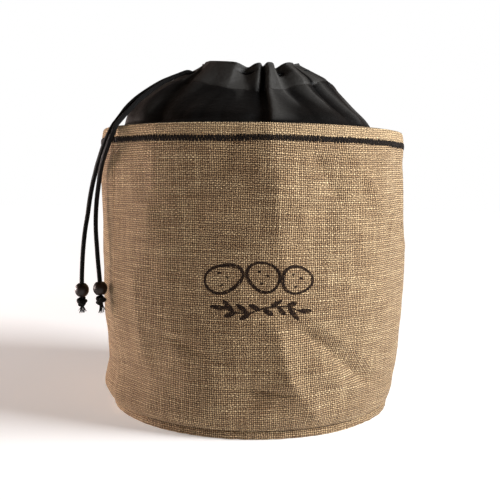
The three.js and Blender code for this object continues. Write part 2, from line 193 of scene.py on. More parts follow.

# %% [markdown]
# ## The cord's two free ends
# The draw cord comes out of a slit in the casing at the left. Its two ends lie over the shoulder, drop
# over the rim side by side, and hang down. Their points were chosen for the model, and they are
# repeated here as turn, reach and height.
# %% Routes of the cord ends
CORD = 4.0 * MM
OUTER_ROUTE = [
    (-75.0, 52.9, 304.5), (-75.0, 56.0, 303.7), (-75.0, 60.1, 304.2), (-75.0, 64.9, 305.4),
    (-75.0, 70.0, 303.6), (-74.6, 78.1, 300.2), (-73.2, 88.1, 295.5), (-70.0, 101.6, 287.0),
    (-66.5, 114.0, 278.2), (-63.0, 124.2, 269.6), (-60.0, 131.9, 261.9), (-57.4, 137.9, 256.6),
    (-55.8, 141.8, 253.5), (-55.0, 144.7, 250.3), (-54.8, 146.8, 246.7), (-55.1, 148.4, 243.3),
    (-56.4, 150.1, 237.1), (-58.2, 150.5, 231.4), (-60.5, 150.7, 224.8), (-62.8, 151.1, 218.1),
    (-64.8, 151.5, 211.3), (-66.2, 152.5, 204.3), (-67.6, 154.5, 190.3), (-68.0, 156.4, 176.0),
    (-68.0, 158.8, 162.0), (-68.0, 160.4, 148.0), (-68.0, 161.4, 134.0), (-68.0, 162.0, 118.0),
    (-68.0, 162.0, 103.5),
]
INNER_ROUTE = [
    (-69.8, 53.0, 304.3), (-69.8, 56.0, 303.5), (-69.9, 60.2, 304.0), (-70.2, 64.9, 305.1),
    (-70.6, 70.0, 303.4), (-70.3, 78.3, 299.4), (-68.6, 88.7, 294.1), (-65.4, 101.9, 285.1),
    (-62.0, 114.5, 275.6), (-58.8, 124.7, 267.0), (-56.0, 133.1, 260.5), (-53.8, 139.6, 255.6),
    (-52.7, 143.7, 252.2), (-52.2, 145.9, 248.8), (-52.1, 147.6, 245.0), (-52.4, 149.0, 241.7),
    (-53.8, 150.0, 235.3), (-55.7, 150.0, 229.6), (-57.6, 149.8, 224.7), (-60.2, 149.2, 218.1),
    (-62.6, 148.7, 211.3), (-64.4, 148.4, 204.4), (-66.3, 149.1, 190.5), (-67.0, 149.8, 176.0),
    (-66.8, 150.0, 162.0), (-66.4, 149.4, 148.0), (-65.4, 149.0, 134.0), (-64.0, 148.6, 120.0),
    (-63.0, 148.4, 106.0),
]
print("points on the cord ends:", len(OUTER_ROUTE), len(INNER_ROUTE))

# %% [markdown]
# The points are joined by a smooth curve. A plain spline can swing out between two points that lie
# close together. The centripetal kind used here spaces its steps by distance, so it doesn't.
# %% A curve through the points
def smooth_path(points, steps):
    """Points on the curve that passes through all the given points (centripetal Catmull-Rom)."""
    points = np.asarray(points, dtype=float)
    points = np.concatenate([[2 * points[0] - points[1]], points, [2 * points[-1] - points[-2]]])
    out = []
    for p0, p1, p2, p3 in zip(points, points[1:], points[2:], points[3:]):
        t1 = np.linalg.norm(p1 - p0) ** 0.5
        t2 = t1 + np.linalg.norm(p2 - p1) ** 0.5
        t3 = t2 + np.linalg.norm(p3 - p2) ** 0.5
        t = np.linspace(t1, t2, steps, endpoint=False)[:, None]
        a1 = (t1 - t) / t1 * p0 + t / t1 * p1
        a2 = (t2 - t) / (t2 - t1) * p1 + (t - t1) / (t2 - t1) * p2
        a3 = (t3 - t) / (t3 - t2) * p2 + (t - t2) / (t3 - t2) * p3
        b1 = (t2 - t) / t2 * a1 + t / t2 * a2
        b2 = (t3 - t) / (t3 - t1) * a2 + (t - t1) / (t3 - t1) * a3
        out.append((t2 - t) / (t2 - t1) * b1 + (t - t1) / (t2 - t1) * b2)
    return np.concatenate(out + [points[-2:-1]])


def path_length(path):
    return float(np.linalg.norm(np.diff(path, axis=0), axis=1).sum())


routes = {}
for side, route in (("outer", OUTER_ROUTE), ("inner", INNER_ROUTE)):
    turn, reach, height = np.array(route).T
    routes[side] = smooth_path(place(turn, reach * MM, height * MM), 6)
    print(side, "cord end, metres:", round(path_length(routes[side]), 4))

# %% [markdown]
# The cord is braided, so its skin is a slanted check of small bundles. The tube counts 8 bundles round
# it and as many along it as make them square, and the finish further down draws the braid from that.
# %% Cord tubes
BRAID_BUNDLES = 8
cords = {}
for side, path in routes.items():
    parts = tube_parts(path, CORD / 2, 20, BRAID_BUNDLES, BRAID_BUNDLES / (math.pi * CORD))
    cords[side] = joined(f"braided_cord_{side}", [parts])
    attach(cords[side], "root")
    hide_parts(f"cord_{side}")
print("cord tubes:", list(cords))

# %% [markdown]
# ## Beads, knots and frayed ends
# Each bead is turned from wood: a ball with small flats where the drill came out, and a soft edge round
# the hole. A sphere primitive has neither, so a profile is turned round the z axis instead, as on a
# lathe. The bead is then hung on the cord's last stretch.
# %% Beads
BEAD_DIAMETER = 12.4 * MM
BEAD_HEIGHT = 11.6 * MM
BORE = CORD + 0.7 * MM
KNOT_HEIGHT = 8.4 * MM
GAP = 0.3 * MM


def hang(points, path, below):
    """Turns points made round the z axis so that they hang on the end of a path."""
    down = Vector(path[-1] - path[-2]).normalized()
    turn = Vector((0, 0, -1)).rotation_difference(down).to_matrix()
    return np.asarray(points) @ np.array(turn).T + path[-1] + np.array(down) * below


def lathe(profile, steps):
    """Turns a closed profile of (radius, height) round the z axis."""
    profile = np.asarray(profile)
    turn = np.arange(steps) * 360 / steps
    points = place(turn[:, None], profile[None, :, 0], profile[None, :, 1])
    faces, wide = ring_faces(steps, len(profile), True)
    grid = np.stack(np.meshgrid(np.arange(steps + 1) / steps, np.arange(len(profile) + 1) / len(profile),
                                indexing="ij"), axis=-1)
    return points.reshape(-1, 3), faces.tolist(), grid.reshape(-1, 2)[wide.reshape(-1)]


flat = math.acos((BORE / 2 + 0.8 * MM) / (BEAD_DIAMETER / 2))
bead_profile = []
for angle in np.linspace(-flat, flat, 22):
    bead_profile.append((math.cos(angle) * BEAD_DIAMETER / 2,
                         math.sin(angle) / math.sin(flat) * BEAD_HEIGHT / 2))
bead_profile.append((BORE / 2 + 0.25 * MM, BEAD_HEIGHT / 2 - 0.05 * MM))
bead_profile.append((BORE / 2, BEAD_HEIGHT / 2 - 0.5 * MM))
bead_profile.append((BORE / 2, -BEAD_HEIGHT / 2 + 0.5 * MM))
bead_profile.append((BORE / 2 + 0.25 * MM, -BEAD_HEIGHT / 2 + 0.05 * MM))

beads = {}
for side, path in routes.items():
    points, faces, uv = lathe(bead_profile, 48)
    beads[side] = mesh_object(f"wooden_bead_{side}", hang(points, path, -BEAD_HEIGHT / 2), faces, uv)
    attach(beads[side], "root")
    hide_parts(f"bead_{side}")
print("bead, mm:", BEAD_DIAMETER / MM, "x", BEAD_HEIGHT / MM)

# %% [markdown]
# The knot is the same cord wrapped round itself and pulled tight. So it is a thinner tube along a short
# winding path, with one more strand that crosses it. At this size the crossings are what the eye finds.
# %% Knots
KNOT_STRAND = 1.75 * MM


def knot_path(seed):
    """A short overhand knot: one and a half turns down, and a strand that crosses them in front."""
    t = np.linspace(0, 1, 60)
    angle = 2 * np.pi * (1.75 * t + 0.13 * seed)
    reach = 3.1 * np.sin(np.pi * np.clip(t * 1.06, 0.0, 1.0)) ** 0.35
    wind = np.stack([reach * np.cos(angle), reach * np.sin(angle),
                     2.5 - 5.0 * t + 0.9 * np.sin(4 * np.pi * t)], axis=1)
    s = np.linspace(-1, 1, 24)
    lean = 0.9 if seed % 2 else -0.9
    cross = np.stack([3.1 * s * lean, -3.2 * np.sqrt(1 - 0.55 * s * s), 2.1 * s], axis=1)
    return [wind * MM, cross * MM]


knots = {}
for seed, (side, path) in enumerate(routes.items()):
    parts = []
    for line in knot_path(seed):
        points, faces, uv = tube_parts(line, KNOT_STRAND, 14, 6, 6 / (2 * math.pi * KNOT_STRAND))
        parts.append((hang(points, path, GAP + KNOT_HEIGHT / 2), faces, uv))
    knots[side] = joined(f"tied_knot_{side}", parts)
    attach(knots[side], "root")
    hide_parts(f"knot_{side}")
print("knot strand, mm:", 2 * KNOT_STRAND / MM)

# %% [markdown]
# Below the knot the cut braid has come apart. Each loose strand is a thin tube that leaves the middle,
# splays out and curls a little, with a fixed seed for its angle, drop and curl.
# %% Frayed strands
STRANDS = 24
frays = {}
for seed, (side, path) in enumerate(routes.items()):
    rng = np.random.default_rng(40 + seed)
    parts = []
    for strand in range(STRANDS):
        angle = rng.uniform(0, 2 * np.pi)
        start = rng.uniform(0.3, 1.5)
        splay = rng.uniform(0.3, 3.2)
        drop = rng.uniform(4.5, 8.5)
        t = np.linspace(0, 1, 7)
        curl = rng.uniform(-0.6, 0.6)
        reach = start + splay * t ** 1.6
        line = np.stack([reach * np.cos(angle + curl * t), reach * np.sin(angle + curl * t),
                         -3.2 - drop * t], axis=1) * MM
        points, faces, uv = tube_parts(line, np.linspace(0.36, 0.20, 7) * MM, 5)
        parts.append((hang(points, path, GAP + KNOT_HEIGHT / 2), faces, uv))
    frays[side] = joined(f"frayed_strands_{side}", parts)
    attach(frays[side], "root")
print("frayed strands:", STRANDS, "on each end")

# %% [markdown]
# The real length of each cord end is given here.
# %% Cord facts
OUTER_LENGTH = 0.280
INNER_LENGTH = 0.277
for side, length in (("outer", OUTER_LENGTH), ("inner", INNER_LENGTH)):
    start = tuple(float(x) for x in routes[side][0])
    print(side, "cord end declared, metres:", length)

# %% [markdown]
# ## The shape of the jute wall
# The wall starts from the model's tables: how wide the bag is at each height, to the left, right and
# front, and where it is dented. Photographed cloth has crisper folds than the solid, so a second table
# adds creases: each runs along a line on the wall and stands out or sinks in by a millimetre or two.
# Sculpting by hand could make them too, but rows of a table can be read, changed and repeated.
# %% Wall tables
RIM_RADIUS = 0.140
RIM_HEIGHT = 0.252
WALL_ROWS = np.array([
    # height, left, right, front
    (0.028, 0.945, 0.940, 0.942), (0.048, 0.978, 0.954, 0.960), (0.075, 0.996, 0.966, 0.972),
    (0.115, 0.983, 0.974, 0.978), (0.160, 0.968, 0.984, 0.982), (0.230, 0.976, 1.000, 0.990),
    (0.350, 1.002, 1.016, 1.000), (0.560, 1.007, 1.022, 1.004), (0.730, 1.010, 1.006, 1.000),
    (0.880, 1.022, 0.994, 0.996), (0.950, 1.016, 0.998, 1.000), (1.000, 1.000, 0.986, 0.996),
])
WALL_DENTS = [
    # turn, height, width in degrees, height of the dent, depth, lean
    (-10, 0.62, 13, 0.30, 0.022, -4), (22, 0.68, 8, 0.12, 0.014, 6), (2, 0.16, 11, 0.10, 0.020, 0),
    (38, 0.24, 6, 0.12, 0.014, -22), (-48, 0.17, 16, 0.09, 0.016, 8), (-76, 0.55, 9, 0.30, 0.010, 0),
    (60, 0.40, 7, 0.22, 0.008, 14), (118, 0.46, 13, 0.24, 0.017, 12), (166, 0.20, 15, 0.12, 0.018, -14),
    (-150, 0.62, 12, 0.26, 0.016, -8), (-112, 0.28, 10, 0.14, 0.014, 10), (9, 0.925, 18, 0.05, -0.018, 0),
]
SEAM_TURN = -57
SEAM_SPREAD = 4
SEAM_RIDGE = 1.4 * MM
CREASES = [
    # upper turn and height in mm, lower turn and height, width in degrees, how far it stands out in mm
    (4.6, 246, 7.6, 196, 5.0, 1.1),
    (6.4, 206, 10.5, 128, 4.6, 1.5),
    (9.5, 214, 17.0, 172, 5.0, 0.9),
    (8.3, 92, 13.0, 47, 3.8, 2.3),
    (12.6, 52, 23.0, 17, 4.2, 2.0),
    (21, 226, 29, 194, 4.2, -1.8),
    (33, 236, 50, 180, 3.2, 1.0),
    (44, 206, 68, 168, 2.4, 1.1),
    (50, 186, 74, 150, 4.0, 0.8),
    (17.5, 90, 43, 44, 3.2, -2.3),
    (22, 96, 49, 50, 2.6, 0.9),
    (19, 62, 39, 33, 4.0, 1.0),
    (-2, 44, 13, 37, 5.0, -1.1),
    (-6, 248, -10, 206, 6.0, -1.6),
    (-40, 226, -35, 186, 4.0, -0.9),
    (-17, 235, -21, 120, 4.0, -0.9),
    (-34, 240, -38, 150, 5.0, 0.8),
    (-44, 130, -40, 60, 5.0, 0.9),
    (-30, 84, -6, 60, 4.0, -0.8),
    (62, 240, 66, 190, 4.0, -0.8),
    (104, 236, 112, 150, 4.0, 1.0), (132, 150, 120, 60, 5.0, -1.1), (150, 240, 156, 110, 5.0, 1.1),
    (182, 120, 196, 40, 5.0, -1.1), (204, 238, 208, 130, 4.5, 1.1), (232, 160, 240, 60, 5.0, 0.9),
    (250, 240, 254, 170, 4.0, -0.8), (170, 70, 190, 30, 4.0, 0.8),
]
print("dents:", len(WALL_DENTS), "creases:", len(CREASES))

# %% [markdown]
# A table holds only a few rows, so something has to fill in between them. These two functions read a
# column with smooth steps between its rows, as the model does, and blend left, front and right by the
# turn. The dressed wall then has the solid's own shape before any crease is added.
# %% Reading the tables
def read_column(rows, column, at):
    """Reads one column of a table with smooth steps between its rows, as the model does."""
    x, y = rows[:, 0], rows[:, column]
    slope = np.empty_like(y)
    slope[1:-1] = (y[2:] - y[:-2]) / (x[2:] - x[:-2])
    slope[0] = (y[1] - y[0]) / (x[1] - x[0])
    slope[-1] = (y[-1] - y[-2]) / (x[-1] - x[-2])
    at = np.clip(at, x[0], x[-1])
    low = np.clip(np.searchsorted(x, at, side="right") - 1, 0, len(x) - 2)
    span = x[low + 1] - x[low]
    t = (at - x[low]) / span
    t2, t3 = t * t, t * t * t
    return ((2 * t3 - 3 * t2 + 1) * y[low] + (t3 - 2 * t2 + t) * slope[low] * span
            + (3 * t2 - 2 * t3) * y[low + 1] + (t3 - t2) * slope[low + 1] * span)


def read_round(rows, turn, at):
    side = np.sin(np.radians(turn))
    flank = np.where(side > 0, read_column(rows, 2, at), read_column(rows, 1, at))
    return flank * side ** 2 + read_column(rows, 3, at) * (1 - side ** 2)


print("half height, to the right, of the rim's radius:", float(read_round(WALL_ROWS, 90.0, 0.5)))

# %% [markdown]
# Two kinds of unevenness go on top. Waves are a sum of cosines that close round the bag, with seeded
# directions, for cloth that is nowhere quite round. Creases are ridges or grooves along short lines,
# with a crest that is sharper than a bell's, because hessian is stiff and holds a fold.
# %% Waves and creases
def waves(turn, height, seed, count, slowest, fastest, lift):
    """Soft waves round the bag and up it, which join up behind; about -1 to 1."""
    rng = np.random.default_rng(seed)
    total = 0
    for number in range(count):
        around = rng.integers(slowest, fastest + 1)
        rise = rng.normal(0, lift)
        total = total + np.cos(np.radians(turn) * around + height * rise + rng.uniform(0, 2 * np.pi))
    return total / math.sqrt(count / 2) * 0.6


def creases(turn, height, rows):
    """Sharp folds along lines on the wall, in metres, positive outwards."""
    total = 0
    for upper, top, lower, foot, width, stand in rows:
        along = np.clip((top * MM - height) / ((top - foot) * MM), -0.4, 1.4)
        off = turn_between(upper + (lower - upper) * along, turn)
        sharp = np.exp(-(np.sqrt((off / width) ** 2 + 0.09) - 0.3))
        total = total + 2.0 * stand * MM * sharp * ease(along, -0.25, 0.15) * ease(1.25 - along, 0, 0.4)
    return total


print("deepest crease in front, mm:", round(float(creases(-6.0, 0.23, CREASES)) / MM, 2))

# %% [markdown]
# One function now gives the wall's outer face for any turn and height: the table, the dents, the side
# seam's soft ridge with the groove beside it, the creases and the waves. The last line pulls the cloth
# in a little where the row of stitches holds it.
# %% Radius of the wall
def wall_radius(turn, height):
    """The outer face of the wall, in metres from the axis."""
    at = height / RIM_HEIGHT
    share = read_round(WALL_ROWS, turn, at)
    for centre, middle, wide, tall, depth, lean in WALL_DENTS:
        rise = (at - middle) / tall
        off = turn_between(centre + lean * rise / 2, turn)
        share = share - depth * bell(off, wide) * bell(rise, 1)
    radius = share * RIM_RADIUS
    seam = turn_between(SEAM_TURN, turn)
    groove = (0.5 + 1.0 * ease(height, 0.17, 0.21)) * MM * bell(seam - 1.3, 0.8)
    radius = radius + SEAM_RIDGE * bell(seam, SEAM_SPREAD) - groove
    radius = radius + creases(turn, height, CREASES)
    calm = ease(height, 0.006, 0.030) * ease(RIM_HEIGHT - height, -0.004, 0.03)
    radius = radius + 0.50 * MM * waves(turn, height, 3, 14, 5, 16, 45) * (0.35 + 0.65 * calm)
    radius = radius + 0.22 * MM * waves(turn, height, 5, 18, 18, 46, 150)
    stitches = bell((height - (RIM_HEIGHT - 0.012)) / MM, 2.4)
    return radius - 0.45 * MM * stitches


print("front radius at half height, mm:", round(float(wall_radius(0.0, 0.126)) / MM, 1))

# %% [markdown]
# ## The jute wall
# One closed loop of points runs up the outside, over the folded hem and down the inside, and it is
# carried round the bag. Cloth is counted in threads: about 500 upright threads go round the bag, and
# the level ones lie 1.75 mm apart. The count drifts a little, so the weave wanders as real hessian does.
# %% Wall mesh
THREAD = 1.75 * MM
ROUND_THREADS = 502
WALL_TURNS = 420
HESSIAN = 1.5 * MM
HEM = 3.4 * MM
HEM_DEPTH = 22 * MM
BAND_HEIGHT = 6.8 * MM


def thread_count(turn, height):
    """Which thread lies at a place on the wall: upright threads first, level threads second."""
    across = turn / 360 * ROUND_THREADS + 0.8 * waves(turn, height, 11, 9, 1, 7, 22)
    level = height / THREAD + 1.3 * waves(turn, height, 12, 9, 1, 6, 14)
    return np.stack(np.broadcast_arrays(across, level), axis=-1)


foot = BAND_HEIGHT + GAP
outer = np.concatenate([[0.2, 0.9], np.linspace(2.2, (RIM_HEIGHT - foot) / MM - 1.7, 128)]) * MM + foot
rim = RIM_HEIGHT - HEM / 2
profile = [(height, "out", 0.0) for height in outer]
for angle in np.linspace(0.25, 0.75, 3) * math.pi:
    profile.append((rim + math.sin(angle) * HEM / 2, "at", (1 - math.cos(angle)) * HEM / 2))
for height in np.linspace(rim, RIM_HEIGHT - HEM_DEPTH, 8):
    profile.append((height, "at", HEM))
for height in np.linspace(RIM_HEIGHT - HEM_DEPTH - 1.6 * MM, foot, 46):
    profile.append((height, "at", HESSIAN))

turn = np.arange(WALL_TURNS) * 360 / WALL_TURNS + SEAM_TURN
heights = np.array([row[0] for row in profile])
inward = np.array([row[2] for row in profile])
tuck = 0.9 * MM * np.exp(-((heights - foot) / MM / 1.3) ** 2)
reach = wall_radius(turn[:, None], heights[None, :]) - inward - tuck
points = place(turn[:, None], reach, heights[None, :])

wide_turn = np.arange(WALL_TURNS + 1) * 360 / WALL_TURNS + SEAM_TURN
wide_heights = np.append(heights, heights[0])
uv = thread_count(wide_turn[:, None], wide_heights[None, :])
uv[-1, :, 0] = uv[0, :, 0] + ROUND_THREADS
wall = ring_object("hessian_wall", points, uv)
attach(wall, "root")
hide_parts("jute_wall")
print("wall faces:", len(wall.data.polygons))

# %% [markdown]
# ## Finishes from nodes
# Every finish is a small network of shader nodes. A short class saves typing: it adds a node, links its
# inputs and hands back its output. Plain numbers go straight onto the shader's own sockets.
# %% Node helper
class Finish:
    def __init__(self, name):
        self.material = bpy.data.materials.new(name)
        self.material.use_nodes = True
        self.tree = self.material.node_tree
        self.shader = self.tree.nodes["Principled BSDF"]

    def feed(self, socket, value):
        if isinstance(value, bpy.types.NodeSocket):
            self.tree.links.new(value, socket)
        elif isinstance(value, (tuple, list)) and len(value) == 3 and len(socket.default_value) == 4:
            socket.default_value = (*value, 1)
        else:
            socket.default_value = value

    def add(self, kind, output=0, inputs=(), **settings):
        node = self.tree.nodes.new(kind)
        for key, value in settings.items():
            setattr(node, key, value)
        for key, value in dict(inputs).items():
            self.feed(node.inputs[key], value)
        return node.outputs[output]

    def math(self, operation, *values, clamp=False):
        return self.add("ShaderNodeMath", inputs=dict(enumerate(values)),
                        operation=operation, use_clamp=clamp)

    def spread(self, value, low, high, to_low=0.0, to_high=1.0):
        return self.add("ShaderNodeMapRange", inputs={
            "Value": value, "From Min": low, "From Max": high, "To Min": to_low, "To Max": to_high})

    def mix(self, share, first, second, blend="MIX"):
        node = self.tree.nodes.new("ShaderNodeMix")
        node.data_type = "RGBA"
        node.blend_type = blend
        self.feed(node.inputs[0], share)
        self.feed(node.inputs[6], first)
        self.feed(node.inputs[7], second)
        return node.outputs[2]

    def noise(self, vector, scale, detail=2.0, roughness=0.5, output=0):
        return self.add("ShaderNodeTexNoise", output, {
            "Vector": vector, "Scale": scale, "Detail": detail, "Roughness": roughness})

    def combine(self, x, y, z=0.0):
        return self.add("ShaderNodeCombineXYZ", inputs={0: x, 1: y, 2: z})

    def bump(self, height, distance, strength=1.0, normal=None):
        inputs = {"Height": height, "Distance": distance, "Strength": strength}
        if normal is not None:
            inputs["Normal"] = normal
        return self.add("ShaderNodeBump", inputs=inputs)

    def threads(self):
        uv = self.add("ShaderNodeUVMap", uv_map="threads")
        node = self.tree.nodes.new("ShaderNodeSeparateXYZ")
        self.tree.links.new(uv, node.inputs[0])
        return node.outputs[0], node.outputs[1]

    def place(self):
        return self.add("ShaderNodeTexCoord", 3)


print("node helper is ready")

# %% [markdown]
# ## Plain weave
# In a plain weave each upright thread goes over one level thread and under the next. The height of
# either thread is a wave along it plus its round back, and the higher one is seen. Where both are low
# there is a hole. Each thread gets its own thickness and its own shade, which also drift along it. With
# some seventy thousand crossings on the wall, threads of geometry would take millions of faces, so the
# pattern is worked out in the shader.
# %% Weave network
def plain_weave(f, across, level, wander=0.22):
    """Height from 0 to 1, which thread is on top, its tone, and a mask for painted shade in the holes."""
    drift = f.combine(f.math("MULTIPLY", across, 0.11), f.math("MULTIPLY", level, 0.11))
    shift = f.math("SUBTRACT", f.noise(drift, 4.0, 1.0), 0.5)
    shift2 = f.math("SUBTRACT", f.noise(drift, 5.3, 1.0, 0.5, 0), 0.5)
    across = f.math("MULTIPLY_ADD", shift, wander * 4, across)
    level = f.math("MULTIPLY_ADD", shift2, wander * 4, level)
    number, number2 = f.math("FLOOR", across), f.math("FLOOR", level)
    upright = f.combine(f.math("MULTIPLY", number, 7.31), f.math("MULTIPLY", level, 0.045))
    lying = f.combine(f.math("MULTIPLY", across, 0.045), f.math("MULTIPLY", number2, 9.17), 5.0)
    own, own2 = f.noise(upright, 1.0, 1.0), f.noise(lying, 1.0, 1.0)
    wave, wave2 = (f.math("SINE", f.math("MULTIPLY", x, math.pi)) for x in (across, level))
    back, back2 = (f.math("ABSOLUTE", x) for x in (wave, wave2))
    thin = f.spread(own, 0.3, 0.7, 0.54, 0.34)
    thin2 = f.spread(own2, 0.3, 0.7, 0.50, 0.28)
    round1 = f.math("POWER", f.math("MAXIMUM", f.math("SUBTRACT", back, thin), 0.0001), 0.50)
    round2 = f.math("POWER", f.math("MAXIMUM", f.math("SUBTRACT", back2, thin2), 0.0001), 0.50)
    lie = f.math("MULTIPLY", f.math("SIGN", wave), wave2)
    lie2 = f.math("MULTIPLY", f.math("SIGN", wave2), wave)
    high = f.math("MULTIPLY", round1, f.math("MULTIPLY_ADD", lie, 0.36, 0.64))
    high2 = f.math("MULTIPLY", round2, f.math("MULTIPLY_ADD", lie2, -0.36, 0.64))
    height = f.math("MAXIMUM", high, high2)
    first = f.math("GREATER_THAN", high, high2)
    shade = f.add("ShaderNodeMix", 0, {0: first, 2: own2, 3: f.spread(own, 0.0, 1.0, 0.22, 0.78)})
    painted_hole_shade = f.spread(height, 0.36, 0.84, 1.0, 0.0)
    return height, first, shade, painted_hole_shade


print("weave network is ready")

# %% [markdown]
# ## Jute
# Jute is a coarse, hairy fibre: dull, straw to brown. The colour is mixed thread by thread, with large
# patches of tone and small pale flecks, and the holes of the cloth are painted nearly black, as painted
# shade. A weak warm sheen stands for the down of loose fibre, and the doubled hem is a little paler, as
# fewer holes show there.
# %% Jute finish
def set_shader(f, color, roughness, normal=None, **plain):
    f.feed(f.shader.inputs["Base Color"], color)
    f.feed(f.shader.inputs["Roughness"], roughness)
    if normal is not None:
        f.feed(f.shader.inputs["Normal"], normal)
    for name, value in plain.items():
        f.feed(f.shader.inputs[name.replace("_", " ")], value)


JUTE_HOLE_SHADE = (0.034, 0.012, 0.006)
JUTE_MIDDLE = (0.58, 0.352, 0.168)
JUTE_LIGHT = (0.99, 0.745, 0.430)


def jute_color(f, shade, painted_hole_shade):
    """Threads from brown to straw, painted shade in the holes, and large soft patches of tone."""
    color = f.mix(f.spread(shade, 0.30, 0.70), JUTE_MIDDLE, JUTE_LIGHT)
    patch = f.noise(f.place(), 22.0, 4.0, 0.6)
    color = f.mix(f.spread(patch, 0.35, 0.75, 0.0, 0.45), color, JUTE_MIDDLE)
    fleck = f.noise(f.place(), 900.0, 2.0, 0.7)
    color = f.mix(f.spread(fleck, 0.56, 0.78, 0.0, 0.5), color, JUTE_LIGHT)
    # Painted shade: the holes between the threads are mixed towards near black.
    return f.mix(f.math("MULTIPLY", painted_hole_shade, 0.97), color, JUTE_HOLE_SHADE)


jute = Finish("jute_hessian")
across, level = jute.threads()
height, first, shade, painted_hole_shade = plain_weave(jute, across, level)
fuzz = jute.noise(jute.place(), 2400.0, 3.0, 0.7)
relief = jute.math("MULTIPLY_ADD", fuzz, 0.22, height)
hem = jute.math("MULTIPLY", jute.math("GREATER_THAN", level, (RIM_HEIGHT - 11 * MM) / THREAD), 0.12)
cloth_color = jute.mix(hem, jute_color(jute, shade, painted_hole_shade), JUTE_LIGHT)
set_shader(jute, cloth_color, 0.92, jute.bump(relief, 0.0014), Specular_IOR_Level=0.12,
           Sheen_Weight=0.22, Sheen_Roughness=0.55, Sheen_Tint=(1.0, 0.85, 0.64, 1.0))
wall.data.materials.append(jute.material)
print("jute nodes:", len(jute.tree.nodes))

# %% [markdown]
# ## The base
# A hessian disc closes the bag below. Its edge is rolled over a cord of cloth and stands up as a band,
# which the wall is sewn to. The roll isn't even: it puckers a little where each stitch pulls it in.
# %% Base
BASE_RADIUS = 131.2 * MM
BASE_THICKNESS = 2.6 * MM
BASE_TURNS = 384
roll = BAND_HEIGHT / 2
profile = [(1.0 * MM, 0.0)] + [(x, 0.0) for x in np.linspace(0.02, BASE_RADIUS - roll, 14)]
for angle in np.radians(np.arange(-67.5, 112.6, 22.5)):
    fuller = [math.copysign(abs(v) ** 0.5, v) for v in (math.cos(angle), math.sin(angle))]
    profile.append((BASE_RADIUS - roll + roll * fuller[0], roll + roll * fuller[1]))
profile.append((BASE_RADIUS - 2.0 * roll, BASE_THICKNESS + roll * 0.7))
profile.append((BASE_RADIUS - 3.0 * roll, BASE_THICKNESS))
profile += [(x, BASE_THICKNESS) for x in np.linspace(BASE_RADIUS - 4 * roll, 0.02, 12)]
profile.append((1.0 * MM, BASE_THICKNESS))
profile = np.array(profile)

turn = np.arange(BASE_TURNS) * 360 / BASE_TURNS
edge = ease(profile[:, 0], BASE_RADIUS - 2.6 * roll, BASE_RADIUS - roll)
fine_pucker = waves(turn[:, None], 0, 21, 20, 30, 90, 1)
wide_pucker = waves(turn[:, None], 0, 22, 10, 4, 14, 1)
pucker = 0.28 * fine_pucker + 0.35 * wide_pucker
reach = profile[None, :, 0] + (pucker - 0.25) * MM * edge
lift = 0.25 * MM * waves(turn[:, None], 0, 23, 12, 20, 60, 1) * edge * ease(profile[:, 1], 0.003, 0.0065)
points = place(turn[:, None], reach, np.maximum(profile[None, :, 1] + np.minimum(lift, 0), 0))
wide_turn = np.append(turn, 360.0)
run = np.concatenate([[0], np.cumsum(np.linalg.norm(np.diff(profile, axis=0), axis=1))])
run = np.append(run, run[-1])
round_count = wide_turn[:, None] / 360 * 471
uv = np.stack(np.broadcast_arrays(round_count, run[None, :] / THREAD), axis=-1).copy()
flat_part = np.append(edge, edge[0]) < 0.02
radial = np.append(profile[:, 0], profile[0, 0])
spot = place(wide_turn[:, None], radial[None, :], 0.0)[..., :2] / THREAD
uv[:, flat_part] = spot[:, flat_part]
base = ring_object("hessian_base", points, uv)
base.data.materials.append(jute.material)
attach(base, "root")
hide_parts("jute_base")
print("base faces:", len(base.data.polygons))

# %% [markdown]
# ## Rows of stitches
# A row of stitches is one small stitch repeated along a line, which is work for Geometry Nodes. The
# network turns a ring of edges into a curve, cuts it into steps of one pitch, sets a stitch on each
# step, and leans every second one the other way. The result is kept as a plain mesh.
# %% Stitch network
def group_input(group, name, kind, value=None):
    socket = group.interface.new_socket(name=name, in_out="INPUT", socket_type=kind)
    if value is not None:
        socket.default_value = value
    return socket.identifier


